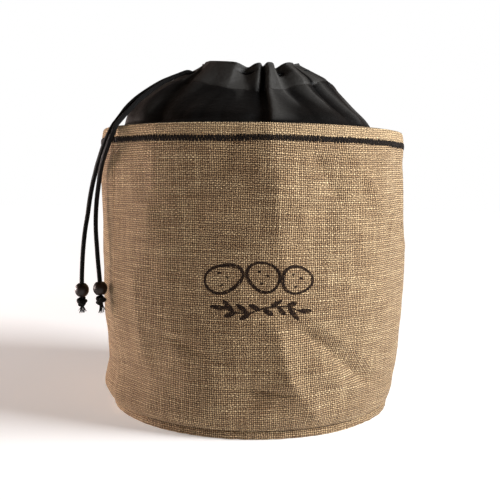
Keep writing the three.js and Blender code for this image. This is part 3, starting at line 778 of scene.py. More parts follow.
def stitch_group(material):
    group = bpy.data.node_groups.new("stitch row", "GeometryNodeTree")
    names = {
        "Line": group_input(group, "Line", "NodeSocketGeometry"),
        "Stitch": group_input(group, "Stitch", "NodeSocketObject"),
        "Pitch": group_input(group, "Pitch", "NodeSocketFloat", 0.001),
        "Lean": group_input(group, "Lean", "NodeSocketFloat", 0.2),
        "Unevenness": group_input(group, "Unevenness", "NodeSocketFloat", 0.1),
        "Seed": group_input(group, "Seed", "NodeSocketInt", 1),
    }
    group.interface.new_socket(name="Row", in_out="OUTPUT", socket_type="NodeSocketGeometry")
    add, link = group.nodes.new, group.links.new
    start, end = add("NodeGroupInput"), add("NodeGroupOutput")
    curve, steps = add("GeometryNodeMeshToCurve"), add("GeometryNodeResampleCurve")
    steps.mode = "LENGTH"
    link(start.outputs["Line"], curve.inputs["Mesh"])
    link(curve.outputs["Curve"], steps.inputs["Curve"])
    link(start.outputs["Pitch"], steps.inputs["Length"])

    along = add("FunctionNodeAlignRotationToVector")
    along.axis = "X"
    link(add("GeometryNodeInputTangent").outputs["Tangent"], along.inputs["Vector"])
    flatten = add("ShaderNodeVectorMath")
    flatten.operation = "MULTIPLY"
    flatten.inputs[1].default_value = (1, 1, 0)
    link(add("GeometryNodeInputPosition").outputs[0], flatten.inputs[0])
    facing = add("FunctionNodeAlignRotationToVector")
    facing.axis = "Y"
    facing.pivot_axis = "X"
    link(along.outputs[0], facing.inputs["Rotation"])
    link(flatten.outputs[0], facing.inputs["Vector"])

    def random(low, high, shift):
        node, seed = add("FunctionNodeRandomValue"), add("ShaderNodeMath")
        seed.operation = "ADD"
        seed.inputs[1].default_value = shift
        link(start.outputs["Seed"], seed.inputs[0])
        link(seed.outputs[0], node.inputs["Seed"])
        node.inputs[2].default_value, node.inputs[3].default_value = low, high
        return node.outputs[1]

    def math_node(operation, a, b):
        node = add("ShaderNodeMath")
        node.operation = operation
        for socket, value in zip(node.inputs, (a, b)):
            if isinstance(value, bpy.types.NodeSocket):
                link(value, socket)
            else:
                socket.default_value = value
        return node.outputs[0]

    odd = math_node("MODULO", add("GeometryNodeInputIndex").outputs[0], 2.0)
    side = math_node("SUBTRACT", math_node("MULTIPLY", odd, 2.0), 1.0)
    uneven = math_node("MULTIPLY", random(-1.0, 1.0, 0), start.outputs["Unevenness"])
    angle = math_node("ADD", math_node("MULTIPLY", side, start.outputs["Lean"]), uneven)
    turn_by, lean = add("ShaderNodeCombineXYZ"), add("FunctionNodeRotateRotation")
    lean.rotation_space = "LOCAL"
    link(angle, turn_by.inputs[1])
    link(facing.outputs[0], lean.inputs["Rotation"])
    link(turn_by.outputs[0], lean.inputs["Rotate By"])
    size = add("ShaderNodeCombineXYZ")
    link(random(0.82, 1.22, 7), size.inputs[0])
    size.inputs[1].default_value = 1.0
    link(random(0.86, 1.16, 13), size.inputs[2])

    stitch, rows = add("GeometryNodeObjectInfo"), add("GeometryNodeInstanceOnPoints")
    link(start.outputs["Stitch"], stitch.inputs["Object"])
    link(steps.outputs["Curve"], rows.inputs["Points"])
    link(stitch.outputs["Geometry"], rows.inputs["Instance"])
    link(lean.outputs[0], rows.inputs["Rotation"])
    link(size.outputs[0], rows.inputs["Scale"])
    real, paint = add("GeometryNodeRealizeInstances"), add("GeometryNodeSetMaterial")
    paint.inputs["Material"].default_value = material
    link(rows.outputs[0], real.inputs[0])
    link(real.outputs[0], paint.inputs["Geometry"])
    link(paint.outputs[0], end.inputs[0])
    return group, names


print("stitch network is ready")

# %% [markdown]
# A network does nothing until a modifier runs it. Its inputs are set first, by their identifiers, and
# the evaluated result then becomes the piece's own mesh, so that nothing live is left on the piece.
# %% Running a network
def evaluate_nodes(piece, group, values):
    """Runs a network on a piece, keeps the result as its mesh and drops the modifier."""
    modifier = piece.modifiers.new("nodes", "NODES")
    modifier.node_group = group
    for identifier, value in values.items():
        modifier[identifier] = value
    bpy.context.view_layer.update()
    graph = bpy.context.evaluated_depsgraph_get()
    mesh = bpy.data.meshes.new_from_object(piece.evaluated_get(graph))
    old = piece.data
    piece.modifiers.clear()
    piece.data = mesh
    bpy.data.meshes.remove(old)
    mesh.shade_smooth()
    return piece


print("networks can be run")

# %% [markdown]
# One stitch is a short stretch of thread that bows outwards and dips into the cloth at both ends. It is
# made once, upright and facing outwards, and the network repeats it. Sewing thread is matt and nearly
# black, with a fine grain from its twist.
# %% One stitch and its row
def small_stitch(name, length, width, depth, sides=6):
    """A short stitch that stands upright, a little thinner where it dips into the cloth."""
    t = np.linspace(-1, 1, 7)
    thick = np.sqrt(np.maximum(1 - (0.93 * t) ** 4, 0))
    bow = depth * 0.45 * (1 - t ** 2) - depth * 0.25
    line = np.stack([0 * t, 0 * t, t * length / 2], axis=1)
    points, faces, _ = tube_parts(line, width / 2 * thick, sides)
    points[:, 1] = points[:, 1] * depth / width + np.repeat(bow, sides)
    piece = mesh_object(name, points, faces)
    piece.hide_render = True
    return piece


def stitch_row(name, line, stitch, pitch, lean, unevenness, seed, closed=True):
    count = len(line)
    mesh = bpy.data.meshes.new(name)
    edges = [(i, (i + 1) % count) for i in range(count if closed else count - 1)]
    mesh.from_pydata(np.asarray(line).tolist(), edges, [])
    row = bpy.data.objects.new(name, mesh)
    bpy.context.scene.collection.objects.link(row)
    group, names = stitch_group(thread.material)
    evaluate_nodes(row, group, {
        names["Stitch"]: stitch, names["Pitch"]: pitch, names["Lean"]: lean,
        names["Unevenness"]: unevenness, names["Seed"]: seed})
    bpy.data.node_groups.remove(group)
    bpy.data.meshes.remove(stitch.data)
    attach(row, "root")
    print(name, "faces:", len(row.data.polygons))
    return row


thread = Finish("black_thread")
grain = thread.noise(thread.place(), 3200.0, 2.0, 0.6)
color = thread.mix(thread.spread(grain, 0.35, 0.7), (0.007, 0.005, 0.004), (0.020, 0.014, 0.011))
set_shader(thread, color, 0.8, thread.bump(grain, 0.0002), Specular_IOR_Level=0.12)
print("thread finish:", thread.material.name)

# %% [markdown]
# The rim's row is sewn with thick dark thread, in a close zigzag that reads as a black band 12 mm below
# the fold. Its line follows the wall's own radius, so the stitches rise and fall with the cloth.
# %% Rim stitches
STITCH_HEIGHT = RIM_HEIGHT - 12 * MM
turn = np.linspace(0, 360, 720, endpoint=False)
line = place(turn, wall_radius(turn, np.full(720, STITCH_HEIGHT)) + 0.25 * MM, STITCH_HEIGHT)
one_stitch = small_stitch("rim_stitch", 5.6 * MM, 1.16 * MM, 0.9 * MM)
stitch_row("rim_stitches", line, one_stitch, 1.40 * MM, math.radians(5), 0.10, 3)

# %% [markdown]
# ## Loose fibres
# Jute sheds fine hairs. A second network scatters a bent hair over the outside of the wall, each turned
# and sized at random from a fixed seed. They are thinner than a thread and only soften the surface.
# %% Fibre network
def fibre_group(material):
    group = bpy.data.node_groups.new("loose fibres", "GeometryNodeTree")
    names = {
        "Cloth": group_input(group, "Cloth", "NodeSocketGeometry"),
        "Fibre": group_input(group, "Fibre", "NodeSocketObject"),
        "Density": group_input(group, "Density", "NodeSocketFloat", 1000.0),
        "Seed": group_input(group, "Seed", "NodeSocketInt", 1),
    }
    group.interface.new_socket(name="Fibres", in_out="OUTPUT", socket_type="NodeSocketGeometry")
    add, link = group.nodes.new, group.links.new
    start, end = add("NodeGroupInput"), add("NodeGroupOutput")
    scatter = add("GeometryNodeDistributePointsOnFaces")
    link(start.outputs["Cloth"], scatter.inputs["Mesh"])
    link(start.outputs["Density"], scatter.inputs["Density"])
    link(start.outputs["Seed"], scatter.inputs["Seed"])
    spin, size = add("FunctionNodeRandomValue"), add("FunctionNodeRandomValue")
    spin.data_type = "FLOAT_VECTOR"
    spin.inputs[0].default_value = (-0.25, -0.25, -3.14)
    spin.inputs[1].default_value = (0.25, 0.25, 3.14)
    spin.inputs["Seed"].default_value = 5
    size.inputs[2].default_value, size.inputs[3].default_value = 0.5, 1.5
    size.inputs["Seed"].default_value = 6
    turn_by = add("FunctionNodeRotateRotation")
    turn_by.rotation_space = "LOCAL"
    link(scatter.outputs["Rotation"], turn_by.inputs["Rotation"])
    link(spin.outputs[0], turn_by.inputs["Rotate By"])
    hair, rows = add("GeometryNodeObjectInfo"), add("GeometryNodeInstanceOnPoints")
    link(start.outputs["Fibre"], hair.inputs["Object"])
    link(scatter.outputs["Points"], rows.inputs["Points"])
    link(hair.outputs["Geometry"], rows.inputs["Instance"])
    link(turn_by.outputs[0], rows.inputs["Rotation"])
    link(size.outputs[1], rows.inputs["Scale"])
    real, paint = add("GeometryNodeRealizeInstances"), add("GeometryNodeSetMaterial")
    paint.inputs["Material"].default_value = material
    link(rows.outputs[0], real.inputs[0])
    link(real.outputs[0], paint.inputs["Geometry"])
    link(paint.outputs[0], end.inputs[0])
    return group, names


print("fibre network is ready")

# %% [markdown]
# One hair is a thin four-sided tube that lies along the cloth and lifts at one end. A hair system would
# do the same, but it doesn't end up as a plain mesh, and these have to. The network scatters the hair
# over a copy of the wall's outside, which it then drops.
# %% Loose fibres
fibre = Finish("jute_fibre")
tone = fibre.noise(fibre.place(), 60.0, 1.0)
set_shader(fibre, fibre.mix(fibre.spread(tone, 0.3, 0.7), JUTE_MIDDLE, (0.72, 0.56, 0.37)), 0.8)

t = np.linspace(0, 1, 7)
line = np.stack([(t - 0.5) * 3.6, 0.7 * np.sin(2.4 * t), 0.05 + 0.75 * t ** 2.2], axis=1) * MM
hair = joined("fibre", [tube_parts(line, np.linspace(0.055, 0.03, 7) * MM, 4)])
hair.hide_render = True

rows = len(heights)
outside = ring_faces(WALL_TURNS, rows, True)[0].reshape(WALL_TURNS, rows, 4)[:, :len(outer)].reshape(-1, 4)
turn = (np.arange(WALL_TURNS) * 360 / WALL_TURNS + SEAM_TURN)[:, None]
skin = place(turn, wall_radius(turn, heights[None, :]) - inward, heights[None, :])
fibres = mesh_object("loose_fibres", skin, outside)
group, names = fibre_group(fibre.material)
evaluate_nodes(fibres, group, {names["Fibre"]: hair, names["Density"]: 5200.0, names["Seed"]: 9})
bpy.data.node_groups.remove(group)
bpy.data.meshes.remove(hair.data)
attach(fibres, "root")
print("fibre faces:", len(fibres.data.polygons))

# %% [markdown]
# ## The print
# A row of plain potato outlines and a two-branch leaf sprig are printed on the front in dark ink. Each
# line of the drawing is a narrow ribbon that follows the wall a fraction of a millimetre above it. The
# ribbons count the same threads as the wall, so the ink breaks up where the weave has its holes. A
# painted image would be simpler, but it would have to be kept beside the script.
# %% Ribbons of ink
INK_LIFT = 0.12 * MM


def ribbon(line, width):
    """A ribbon on the wall along a line of (turn, height in mm); width in mm may change along it."""
    line = np.asarray(line, dtype=float)
    flat_line = np.stack([np.radians(line[:, 0]) * RIM_RADIUS, line[:, 1] * MM], axis=1)
    width = np.broadcast_to(width, len(line))[:, None] * MM
    ahead = np.gradient(flat_line, axis=0)
    ahead /= np.maximum(np.linalg.norm(ahead, axis=1), 1e-9)[:, None]
    across = np.stack([-ahead[:, 1], ahead[:, 0]], axis=1)
    rows = np.stack([flat_line + across * width * share for share in (0.5, 0.0, -0.5)], axis=1)
    turn, height = np.degrees(rows[..., 0] / RIM_RADIUS), rows[..., 1]
    points = place(turn, wall_radius(turn, height) + INK_LIFT, height)
    count = thread_count(turn, height)
    faces, uv = [], []
    for step in range(len(line) - 1):
        for side in range(2):
            corners = [(step, side), (step, side + 1), (step + 1, side + 1), (step + 1, side)]
            faces.append([a * 3 + b for a, b in corners])
            uv += [count[a, b] for a, b in corners]
    return points.reshape(-1, 3), faces, np.array(uv)


def oval(turn, height, wide, tall, lean, bumps, steps=64):
    """A potato's outline: an oval with a few soft bumps; sizes in mm."""
    angle = np.linspace(0, 2 * np.pi, steps + 1)
    size = 1 + 0.05 * np.sin(2 * angle + bumps) + 0.045 * np.sin(3 * angle + 2.1 * bumps)
    x, y = wide / 2 * size * np.cos(angle), tall / 2 * size * np.sin(angle)
    c, s = math.cos(lean), math.sin(lean)
    x, y = x * c - y * s, x * s + y * c
    return np.stack([turn + np.degrees(x * MM / RIM_RADIUS), height + y], axis=1)


def leaf(base, tip, wide):
    """A pointed leaf between two places, as a ribbon that swells and closes again."""
    t = np.linspace(0, 1, 13)[:, None]
    line = np.array(base) * (1 - t) + np.array(tip) * t
    return ribbon(line, np.maximum(wide * np.sin(np.pi * np.linspace(0, 1, 13)) ** 0.6, 0.3))


print("a leaf's faces:", len(leaf((0, 100), (5, 104), 4.0)[1]))

# %% [markdown]
# The drawing itself is three short lists: ovals with a size, a lean and a few bumps, the two stems of
# the sprig, and the leaves on them, each from its foot to its tip.
# %% Print
POTATOES = [
    # turn, height, width, height of the outline, lean, bumps
    (-9.4, 131.4, 31.0, 21.5, 0.22, 0.4),
    (3.6, 133.4, 25.0, 23.0, -0.35, 2.3),
    (14.4, 131.2, 25.5, 20.5, 0.10, 3.9),
]
SPRIG_STEMS = [
    [(2.4, 107.6), (0.7, 106.0), (-0.8, 105.2), (-5.1, 105.0), (-8.4, 108.0)],
    [(2.4, 107.6), (4.2, 108.9), (6.1, 109.9), (8.8, 110.2), (11.2, 110.3), (13.0, 108.9), (15.4, 106.6)],
]
SPRIG_LEAVES = [
    # where it leaves the stem, and its tip
    ((-7.9, 108.0), (-13.8, 109.2)), ((-5.8, 105.5), (-9.6, 114.7)), ((-1.2, 105.3), (-5.1, 111.7)),
    ((2.7, 107.6), (-1.0, 111.4)), ((-5.1, 104.9), (-9.0, 101.7)), ((-0.1, 105.2), (-3.9, 99.4)),
    ((6.1, 110.3), (9.7, 115.4)), ((11.2, 110.3), (14.7, 113.5)), ((15.0, 106.6), (19.7, 106.2)),
    ((3.6, 107.9), (7.0, 103.6)), ((8.4, 109.8), (10.8, 103.5)), ((11.7, 109.4), (15.3, 99.2)),
]
POTATO_EYES = [(-3.4, 4.2), (3.2, 1.2), (-1.2, -5.2)]
parts = []
for centre, middle, wide, tall, lean, bumps in POTATOES:
    outline = oval(centre, middle, wide, tall, lean, bumps)
    width = 2.3 + 0.45 * np.sin(np.linspace(0, 9, len(outline)) + bumps)
    parts.append(ribbon(outline, width))
    for number, (over, above) in enumerate(POTATO_EYES):
        start = centre + math.degrees(over * MM / RIM_RADIUS)
        step = math.degrees(2.4 * MM / RIM_RADIUS)
        tilt = 0.7 * (-1) ** number
        dash = [(start + step * x, middle + above + tilt * x) for x in np.linspace(-0.5, 0.5, 5)]
        parts.append(ribbon(dash, 1.5))
for stem in SPRIG_STEMS:
    parts.append(ribbon(smooth_path(np.array(stem), 8), 1.2))
for foot_of_leaf, tip in SPRIG_LEAVES:
    parts.append(leaf(foot_of_leaf, tip, 4.0))
front_print = joined("front_print", parts)
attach(front_print, "root")
print("print faces:", len(front_print.data.polygons))

# %% [markdown]
# Fabric ink soaks into the threads: it is matt, follows the relief of the weave and is a little worn,
# so that some thread tops show through. The finish reads the same weave as the jute below it, and its
# holes are painted dark brown, as painted shade.
# %% Ink
ink = Finish("fabric_ink")
across, level = ink.threads()
height, first, shade, painted_hole_shade = plain_weave(ink, across, level)
worn = ink.math("MULTIPLY", ink.spread(ink.noise(ink.place(), 700.0, 3.0, 0.7), 0.56, 0.72), 0.45)
color = ink.mix(worn, (0.012, 0.006, 0.004), JUTE_MIDDLE)
# Painted shade: the holes of the weave are mixed towards dark brown.
color = ink.mix(ink.math("MULTIPLY", painted_hole_shade, 0.6), color, (0.024, 0.013, 0.008))
set_shader(ink, color, 0.85, ink.bump(height, 0.0009), Specular_IOR_Level=0.1)
front_print.data.materials.append(ink.material)
print("ink finish:", ink.material.name)

# %% [markdown]
# ## The gathered top
# The black sleeve is sewn inside the hem and drawn together at the neck. Its broad shape and its
# gathers come from the model's tables. Thin cloth that is drawn in also falls into many narrow pleats
# that start at the cord and die out on the shoulder, so a table of folds is added. Two more tables hold
# where the rolled edge dips into the neck, and the small hollows that the gathers make just below it.
# A cloth simulation would make folds as well, but not these ones in these places.
# %% Top tables
TOP_ROWS = np.array([
    # share of the rise, left, right, front
    (0.07, 0.862, 0.780, 0.842), (0.19, 0.850, 0.742, 0.780), (0.34, 0.814, 0.678, 0.662),
    (0.53, 0.716, 0.606, 0.510), (0.65, 0.632, 0.558, 0.455), (0.77, 0.530, 0.510, 0.418),
    (0.88, 0.432, 0.412, 0.386), (0.95, 0.382, 0.346, 0.364), (1.00, 0.350, 0.304, 0.344),
])
GATHERS = [
    # turn at the neck, turn at the foot, width at the neck and at the foot, depth at both
    (-73, -72, 7, 9, 0.60, 0.00), (-62, -40, 4.5, 7, 0.22, 0.50), (-9, -12, 8, 8, 0.80, 0.24),
    (9, 1.0, 2.5, 5, 0.35, 0.60), (28, 18, 6, 9, 0.85, 0.28), (60, 46, 7, 8, 0.35, 0.34),
    (84, 68, 7, 7, 0.40, 0.42), (108, 112, 8, 9, 0.90, 0.40), (134, 140, 7, 9, 1.00, 0.34),
    (163, 160, 8, 8, 0.80, 0.44), (190, 192, 8, 9, 0.95, 0.36), (217, 222, 7, 9, 0.85, 0.46),
    (251, 247, 8, 8, 0.90, 0.36),
]
LIP_DIPS = [
    # turn, width in degrees, drop in mm
    (-9, 7.0, 0.5), (9.5, 1.6, 1.2), (28, 4.0, 1.0), (-80, 9.0, 1.2),
]
POCKETS = [
    # turn, width in degrees, how far below the edge, half height and depth in mm
    (-8, 7.5, 6.4, 2.2, 4.6), (28, 4.6, 8.0, 4.2, 4.4), (9.8, 1.4, 7.0, 6.0, 2.6),
]
NECK_RISE = 62.4 * MM
GATHER_DEPTH = 9 * MM
FRONT_DROP = 0.09
CASING_DEPTH = 31 * MM
CASING_WIDTH = 7 * MM
CLOTH = 0.7 * MM
TOP_TURNS = 480
SLEEVE_ROWS = np.concatenate([np.linspace(0.07, 0.9, 50), np.linspace(0.912, 1.0, 9)])
FOLDS = [
    # turn at the neck, turn at the foot, from and to (shares of the rise), width in degrees to the left
    # and to the right, out in mm
    (10, 4.4, 0.00, 1.00, 3.4, 0.6, -4.4),
    (11.4, 5.8, 0.00, 1.00, 0.7, 6.0, 3.8),
    (4, 1, 0.62, 1.00, 3.6, 3.0, 1.6),
    (-20, -19, 0.62, 1.00, 5.0, 2.2, 1.8),
    (17, 26, 0.30, 1.00, 2.4, 3.6, 2.4),
    (37, 41, 0.30, 1.00, 3.2, 4.0, 2.6),
    (50, 47, 0.15, 0.98, 3.2, 1.8, -2.8),
    (57, 56, 0.10, 1.00, 2.0, 4.0, 2.2),
    (-66, -66, 0.93, 1.00, 12.0, 9.0, 6.0),
    (66, 67, 0.05, 0.90, 2.6, 2.0, -2.0),
    (74, 76, 0.00, 0.90, 2.6, 3.0, 1.4),
    (-66, -41, 0.05, 0.98, 1.8, 4.5, -2.4),
    (-86, -80, 0.30, 0.86, 9.0, 8.0, 2.3),
    (-52, -52, 0.00, 0.60, 4.0, 4.0, 1.4),
    (-22, -22, 0.00, 0.46, 2.2, 2.6, -1.9),
    (-14, -13.5, 0.00, 0.46, 2.0, 2.2, -1.6),
    (-34, -30, 0.00, 0.42, 3.0, 3.0, -1.1),
    (4, 3.8, 0.00, 0.50, 2.6, 1.8, -1.9),
    (28, 26, 0.05, 0.50, 3.2, 2.2, -1.4),
    (98, 96, 0.15, 1.00, 2.4, 4.0, 2.4), (112, 117, 0.10, 0.98, 3.0, 2.0, -2.6),
    (124, 121, 0.30, 1.00, 3.4, 2.4, 2.2), (138, 143, 0.00, 1.00, 2.2, 3.6, -2.8),
    (151, 150, 0.20, 1.00, 3.0, 3.4, 2.4), (168, 162, 0.05, 0.96, 2.2, 3.0, -2.4),
    (182, 184, 0.30, 1.00, 3.6, 2.0, 2.4), (197, 201, 0.00, 1.00, 3.0, 2.2, -2.8),
    (212, 209, 0.15, 1.00, 2.2, 3.6, 2.2), (226, 231, 0.10, 0.98, 3.4, 2.0, -2.4),
    (243, 240, 0.25, 1.00, 2.4, 3.4, 2.2), (258, 262, 0.05, 0.92, 3.0, 2.4, -2.0),
]
print("gathers:", len(GATHERS), "folds:", len(FOLDS))

# %% [markdown]
# A fold in thin cloth has a narrow crest, and may be steeper on one side. The folds of the table get
# company from small seeded pleats round the sides and the back. All of them ease in and out along the
# rise, and each moves sideways from the foot to the neck, as drawn-in cloth does.
# %% Folds of the top
def sharp_fold(off, left, right):
    """A fold with a narrow crest, which may be steeper on one side than on the other."""
    width = np.where(off < 0, left, right)
    return np.exp(-np.sqrt((off / width) ** 2 + 0.03) + 0.173)


def small_pleats(turn, rise, seed=31, count=34):
    """Narrow pleats round the sides and the back, deep at the neck and gone on the shoulder, in mm."""
    rng = np.random.default_rng(seed)
    total = 0
    for number in range(count):
        at_neck = number * 360 / count + rng.uniform(-3, 3)
        at_foot = at_neck + rng.normal(0, 5)
        left, other = rng.uniform(1.6, 3.6, 2)
        end = rng.uniform(0.10, 0.70)
        depth = rng.uniform(0.5, 2.0) * (1 if rng.random() < 0.65 else -1)
        depth *= 0.12 + 0.88 * float(ease(abs(turn_between(-5.0, at_neck)), 72, 104))
        off = turn_between(at_foot + (at_neck - at_foot) * rise, turn)
        total = total - depth * sharp_fold(off, left, other) * ease(rise, end, end + 0.35)
    return total * (1 - 0.85 * ease(rise, 0.80, 0.98))


def gather_pull(turn, rise):
    pull = 0
    for neck, at_foot, wide, spread, depth, fade in GATHERS:
        centre = at_foot + turn_between(at_foot, neck) * rise
        width = spread + (wide - spread) * rise
        pull = pull + (fade + (depth - fade) * rise * rise) * bell(turn_between(centre, turn), width)
    return pull


def top_folds(turn, rise):
    total = small_pleats(turn, rise)
    for neck, at_foot, low, high, left, other, out in FOLDS:
        off = turn_between(at_foot + (neck - at_foot) * rise, turn)
        held = ease(rise, low - 0.12, low + 0.18) * ease(high + 0.15 - rise, 0, 0.25)
        total = total + out * sharp_fold(off, left, other) * held
    total = total * (1 - 0.35 * ease(rise, 0.88, 1.0))
    return total + 0.6 * waves(turn, rise, 33, 16, 7, 26, 5.0) * ease(rise, 0.0, 0.3)


def lip_dips(turn, rise):
    """How far the rolled edge curls down into the neck, in mm."""
    total = 0
    for centre, width, drop in LIP_DIPS:
        total = total + drop * bell(turn_between(centre, turn), width)
    return total * ease(rise, 0.84, 1.0)


print("deepest fold in front at the neck, mm:", round(float(top_folds(10.0, 0.9)), 2))

# %% [markdown]
# The sleeve's middle line is worked out for every turn at once: it starts where the sleeve is sewn
# inside the hem, bows out a little, and then follows the table up to the neck. The thickness of the
# cloth is laid to both sides of it later, along its own normals. At the two sides of the neck, where
# the outline is seen, the gathers lie flatter.
# %% Line of the sleeve
LOWER_ROWS = 13
FLATTER_TURNS = (-70, 84)


def top_line(turn):
    """The sleeve's middle line at each turn: (turns, rows, radius and height)."""
    turn = turn[:, None]
    side = np.sin(np.radians(turn)) ** 2
    rise = NECK_RISE * (1 - FRONT_DROP * (1 - side))
    at = SLEEVE_ROWS[None, :]
    pull = gather_pull(turn, at) * GATHER_DEPTH
    for centre in FLATTER_TURNS:
        pull = pull * (1 - 0.75 * bell(turn_between(centre, turn), 14) * ease(at, 0.86, 0.97))
    radius = read_round(TOP_ROWS, turn, at) * RIM_RADIUS - pull + top_folds(turn, at) * MM
    height = RIM_HEIGHT + rise * at - pull * at * 0.4 - lip_dips(turn, at) * MM
    sewn = np.array([RIM_HEIGHT - 20 * MM, RIM_HEIGHT - 16 * MM, RIM_HEIGHT - 12 * MM])[None, :]
    sewn_radius = wall_radius(turn, sewn) - 3.6 * MM - GAP - 0.6 * MM
    low = np.array([sewn_radius[:, -1], np.full(len(turn), sewn[0, -1])]).T
    high = np.array([radius[:, 0], height[:, 0]]).T
    t = np.linspace(0, 1, LOWER_ROWS - 1)[1:-1][None, :, None]
    out = low[:, None] * (1 - t) + high[:, None] * t
    out[..., 0] += 1.1 * MM * np.sin(np.pi * t[..., 0])
    sewn_part = np.stack([sewn_radius, np.broadcast_to(sewn, sewn_radius.shape)], axis=-1)
    upper = np.stack([radius, height], axis=-1)
    return np.concatenate([sewn_part, out, upper], axis=1)


def normals_of(line):
    ahead = np.gradient(line, axis=1)
    ahead /= np.linalg.norm(ahead, axis=-1)[..., None]
    return np.stack([ahead[..., 1], -ahead[..., 0]], axis=-1)


print("rows on the sleeve:", LOWER_ROWS + len(SLEEVE_ROWS))

# %% [markdown]
# At the neck the cloth turns over and comes back down inside as the casing that holds the cord. So the
# line goes up the outer leg, over a round arch and down the inner leg, which is the outer one's own
# shape moved inwards. The line of stitches pulls the outer leg in, and the hollows are pressed in last.
# %% Legs of the casing
turn = np.arange(TOP_TURNS) * 360 / TOP_TURNS - 73 + 0.2
outer_leg = top_line(turn)
steps = np.linalg.norm(np.diff(outer_leg, axis=1), axis=-1)
summed = np.cumsum(steps[:, ::-1], axis=1)[:, ::-1]
from_end = np.concatenate([summed, np.zeros((len(turn), 1))], axis=1)
stitch_dip = 0.55 * MM * bell((from_end - CASING_DEPTH) / MM, 1.6)
outer_leg = outer_leg - normals_of(outer_leg) * stitch_dip[..., None]

pocket = 0
for centre, width, below, tall, depth in POCKETS:
    off = turn_between(centre + 0.5 * (from_end / MM - below) / tall, turn[:, None])
    pocket = pocket + depth * bell(off, width) * bell(from_end / MM - below, tall)

depths = np.linspace(0, CASING_DEPTH - 1.5 * MM, 20)
inner_leg = np.empty((len(turn), len(depths), 2))
for number in range(len(turn)):
    depth_up = from_end[number, ::-1]
    for axis in range(2):
        inner_leg[number, :, axis] = np.interp(depths, depth_up, outer_leg[number, ::-1, axis])
inner_leg = inner_leg + normals_of(inner_leg) * CASING_WIDTH
outer_leg = outer_leg - normals_of(outer_leg) * (pocket * MM)[..., None]
peak, fold = outer_leg[:, -1], inner_leg[:, 0]
arch = []
for angle in np.linspace(0, math.pi, 9)[1:-1]:
    middle = (peak + fold) / 2 + (peak - fold) / 2 * math.cos(angle)
    middle[:, 1] += CASING_WIDTH / 2 * math.sin(angle)
    arch.append(middle)
print("casing, mm:", CASING_DEPTH / MM, "deep and", CASING_WIDTH / MM, "wide")

# %% [markdown]
# Half the cloth's thickness to each side of the middle line gives the two skins, which close into one
# loop. Solidify would do this too, but then the rows could not be counted, and the slit needs them.
# %% Skins of the sleeve
middle_line = np.concatenate([outer_leg, np.stack(arch, axis=1), inner_leg], axis=1)
normal = normals_of(middle_line)
outside_skin = middle_line + normal * CLOTH / 2
inside_skin = middle_line - normal * CLOTH / 2
loop = np.concatenate([outside_skin, inside_skin[:, ::-1]], axis=1)
points = place(turn[:, None], loop[..., 0], loop[..., 1])

run = np.linalg.norm(np.diff(loop, axis=1), axis=-1).mean(axis=0)
run = np.concatenate([[0], np.cumsum(run)])
wide_turn = np.append(turn, turn[0] + 360)
run = np.append(run, run[-1])
uv = np.stack(np.broadcast_arrays(wide_turn[:, None] / 360 * 0.70, run[None, :]), axis=-1)
print("points on one loop:", loop.shape[1])

# %% [markdown]
# The slit for the cord is a slot with round ends, cut through the outer leg only. Faces whose corners
# all lie in the slot are left out of the mesh. Two numbers are then kept at every point, from which the
# finish paints light and shade: how far the cloth is doubled there, and how far a fold stands out.
# %% Slit and mesh of the sleeve
SLIT_TURN = -72.4
SLIT_HALF_WIDTH = 5.0 * MM
SLIT_HALF_LENGTH = 9.0 * MM
SLIT_FROM_END = 18.5 * MM
rows = loop.shape[1]
leg = outer_leg.shape[1]
reach = outer_leg[..., 0]
across_slit = np.radians(turn_between(SLIT_TURN, turn))[:, None] * reach
along_slit = from_end - SLIT_FROM_END
straight = SLIT_HALF_LENGTH - SLIT_HALF_WIDTH
apart = np.hypot(across_slit, np.maximum(np.abs(along_slit) - straight, 0))
in_slit = apart < SLIT_HALF_WIDTH
drop = np.zeros((len(turn), rows), dtype=bool)
drop[:, :leg] = in_slit
drop[:, rows - leg:] = in_slit[:, ::-1]
corners = drop & np.roll(drop, -1, axis=0) & np.roll(drop, -1, axis=1)
sleeve = ring_object("gathered_sleeve", points, uv, keep=~corners.reshape(-1))
# Both numbers only steer painted light: a lighter casing and fold crests, darker valleys and hollows.
doubled = np.ones((len(turn), rows))
doubled[:, :leg] = ease(CASING_DEPTH - from_end, -0.6 * MM, 1.2 * MM)
doubled[:, rows - leg:] = doubled[:, :leg][:, ::-1]
at = np.concatenate([np.zeros(LOWER_ROWS), SLEEVE_ROWS])[None, :]
stand = top_folds(turn[:, None], at) * ease(at, 0.0, 0.1)
crest = np.full((len(turn), rows), 0.35)
crest[:, :leg] = np.clip(0.35 + stand / 5.0 - pocket / 6.0, 0, 1)
for name, value in (("doubled", doubled), ("crest", crest)):
    sleeve.data.attributes.new(name, "FLOAT", "POINT").data.foreach_set("value", value.ravel())
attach(sleeve, "root")
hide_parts("drawstring_top")
print("sleeve faces:", len(sleeve.data.polygons), "slit faces cut:", int(corners.sum()))

# %% [markdown]
# ## Black cloth
# The sleeve is smooth polyester: nearly black, with a soft shine along the folds and a weave too fine
# to see except close by. A little dust lightens it in patches. The two numbers kept on the mesh paint
# light and shade into the colour: a painted highlight makes the doubled casing and the crests of the
# folds a shade lighter, and painted shade makes the valleys and hollows darker.
# %% Black cloth
black = Finish("black_polyester")
spot = black.place()
cloth_u, cloth_v = black.threads()
fine = black.math("MULTIPLY",
                  black.math("ABSOLUTE", black.math("SINE", black.math("MULTIPLY", cloth_u, 9000.0))),
                  black.math("ABSOLUTE", black.math("SINE", black.math("MULTIPLY", cloth_v, 9000.0))))
crumple = black.noise(spot, 160.0, 3.0, 0.55)
relief = black.math("MULTIPLY_ADD", fine, 0.05, crumple)
dust = black.noise(spot, 46.0, 4.0, 0.65)
doubled = black.add("ShaderNodeAttribute", 2, attribute_name="doubled")
crest = black.add("ShaderNodeAttribute", 2, attribute_name="crest")
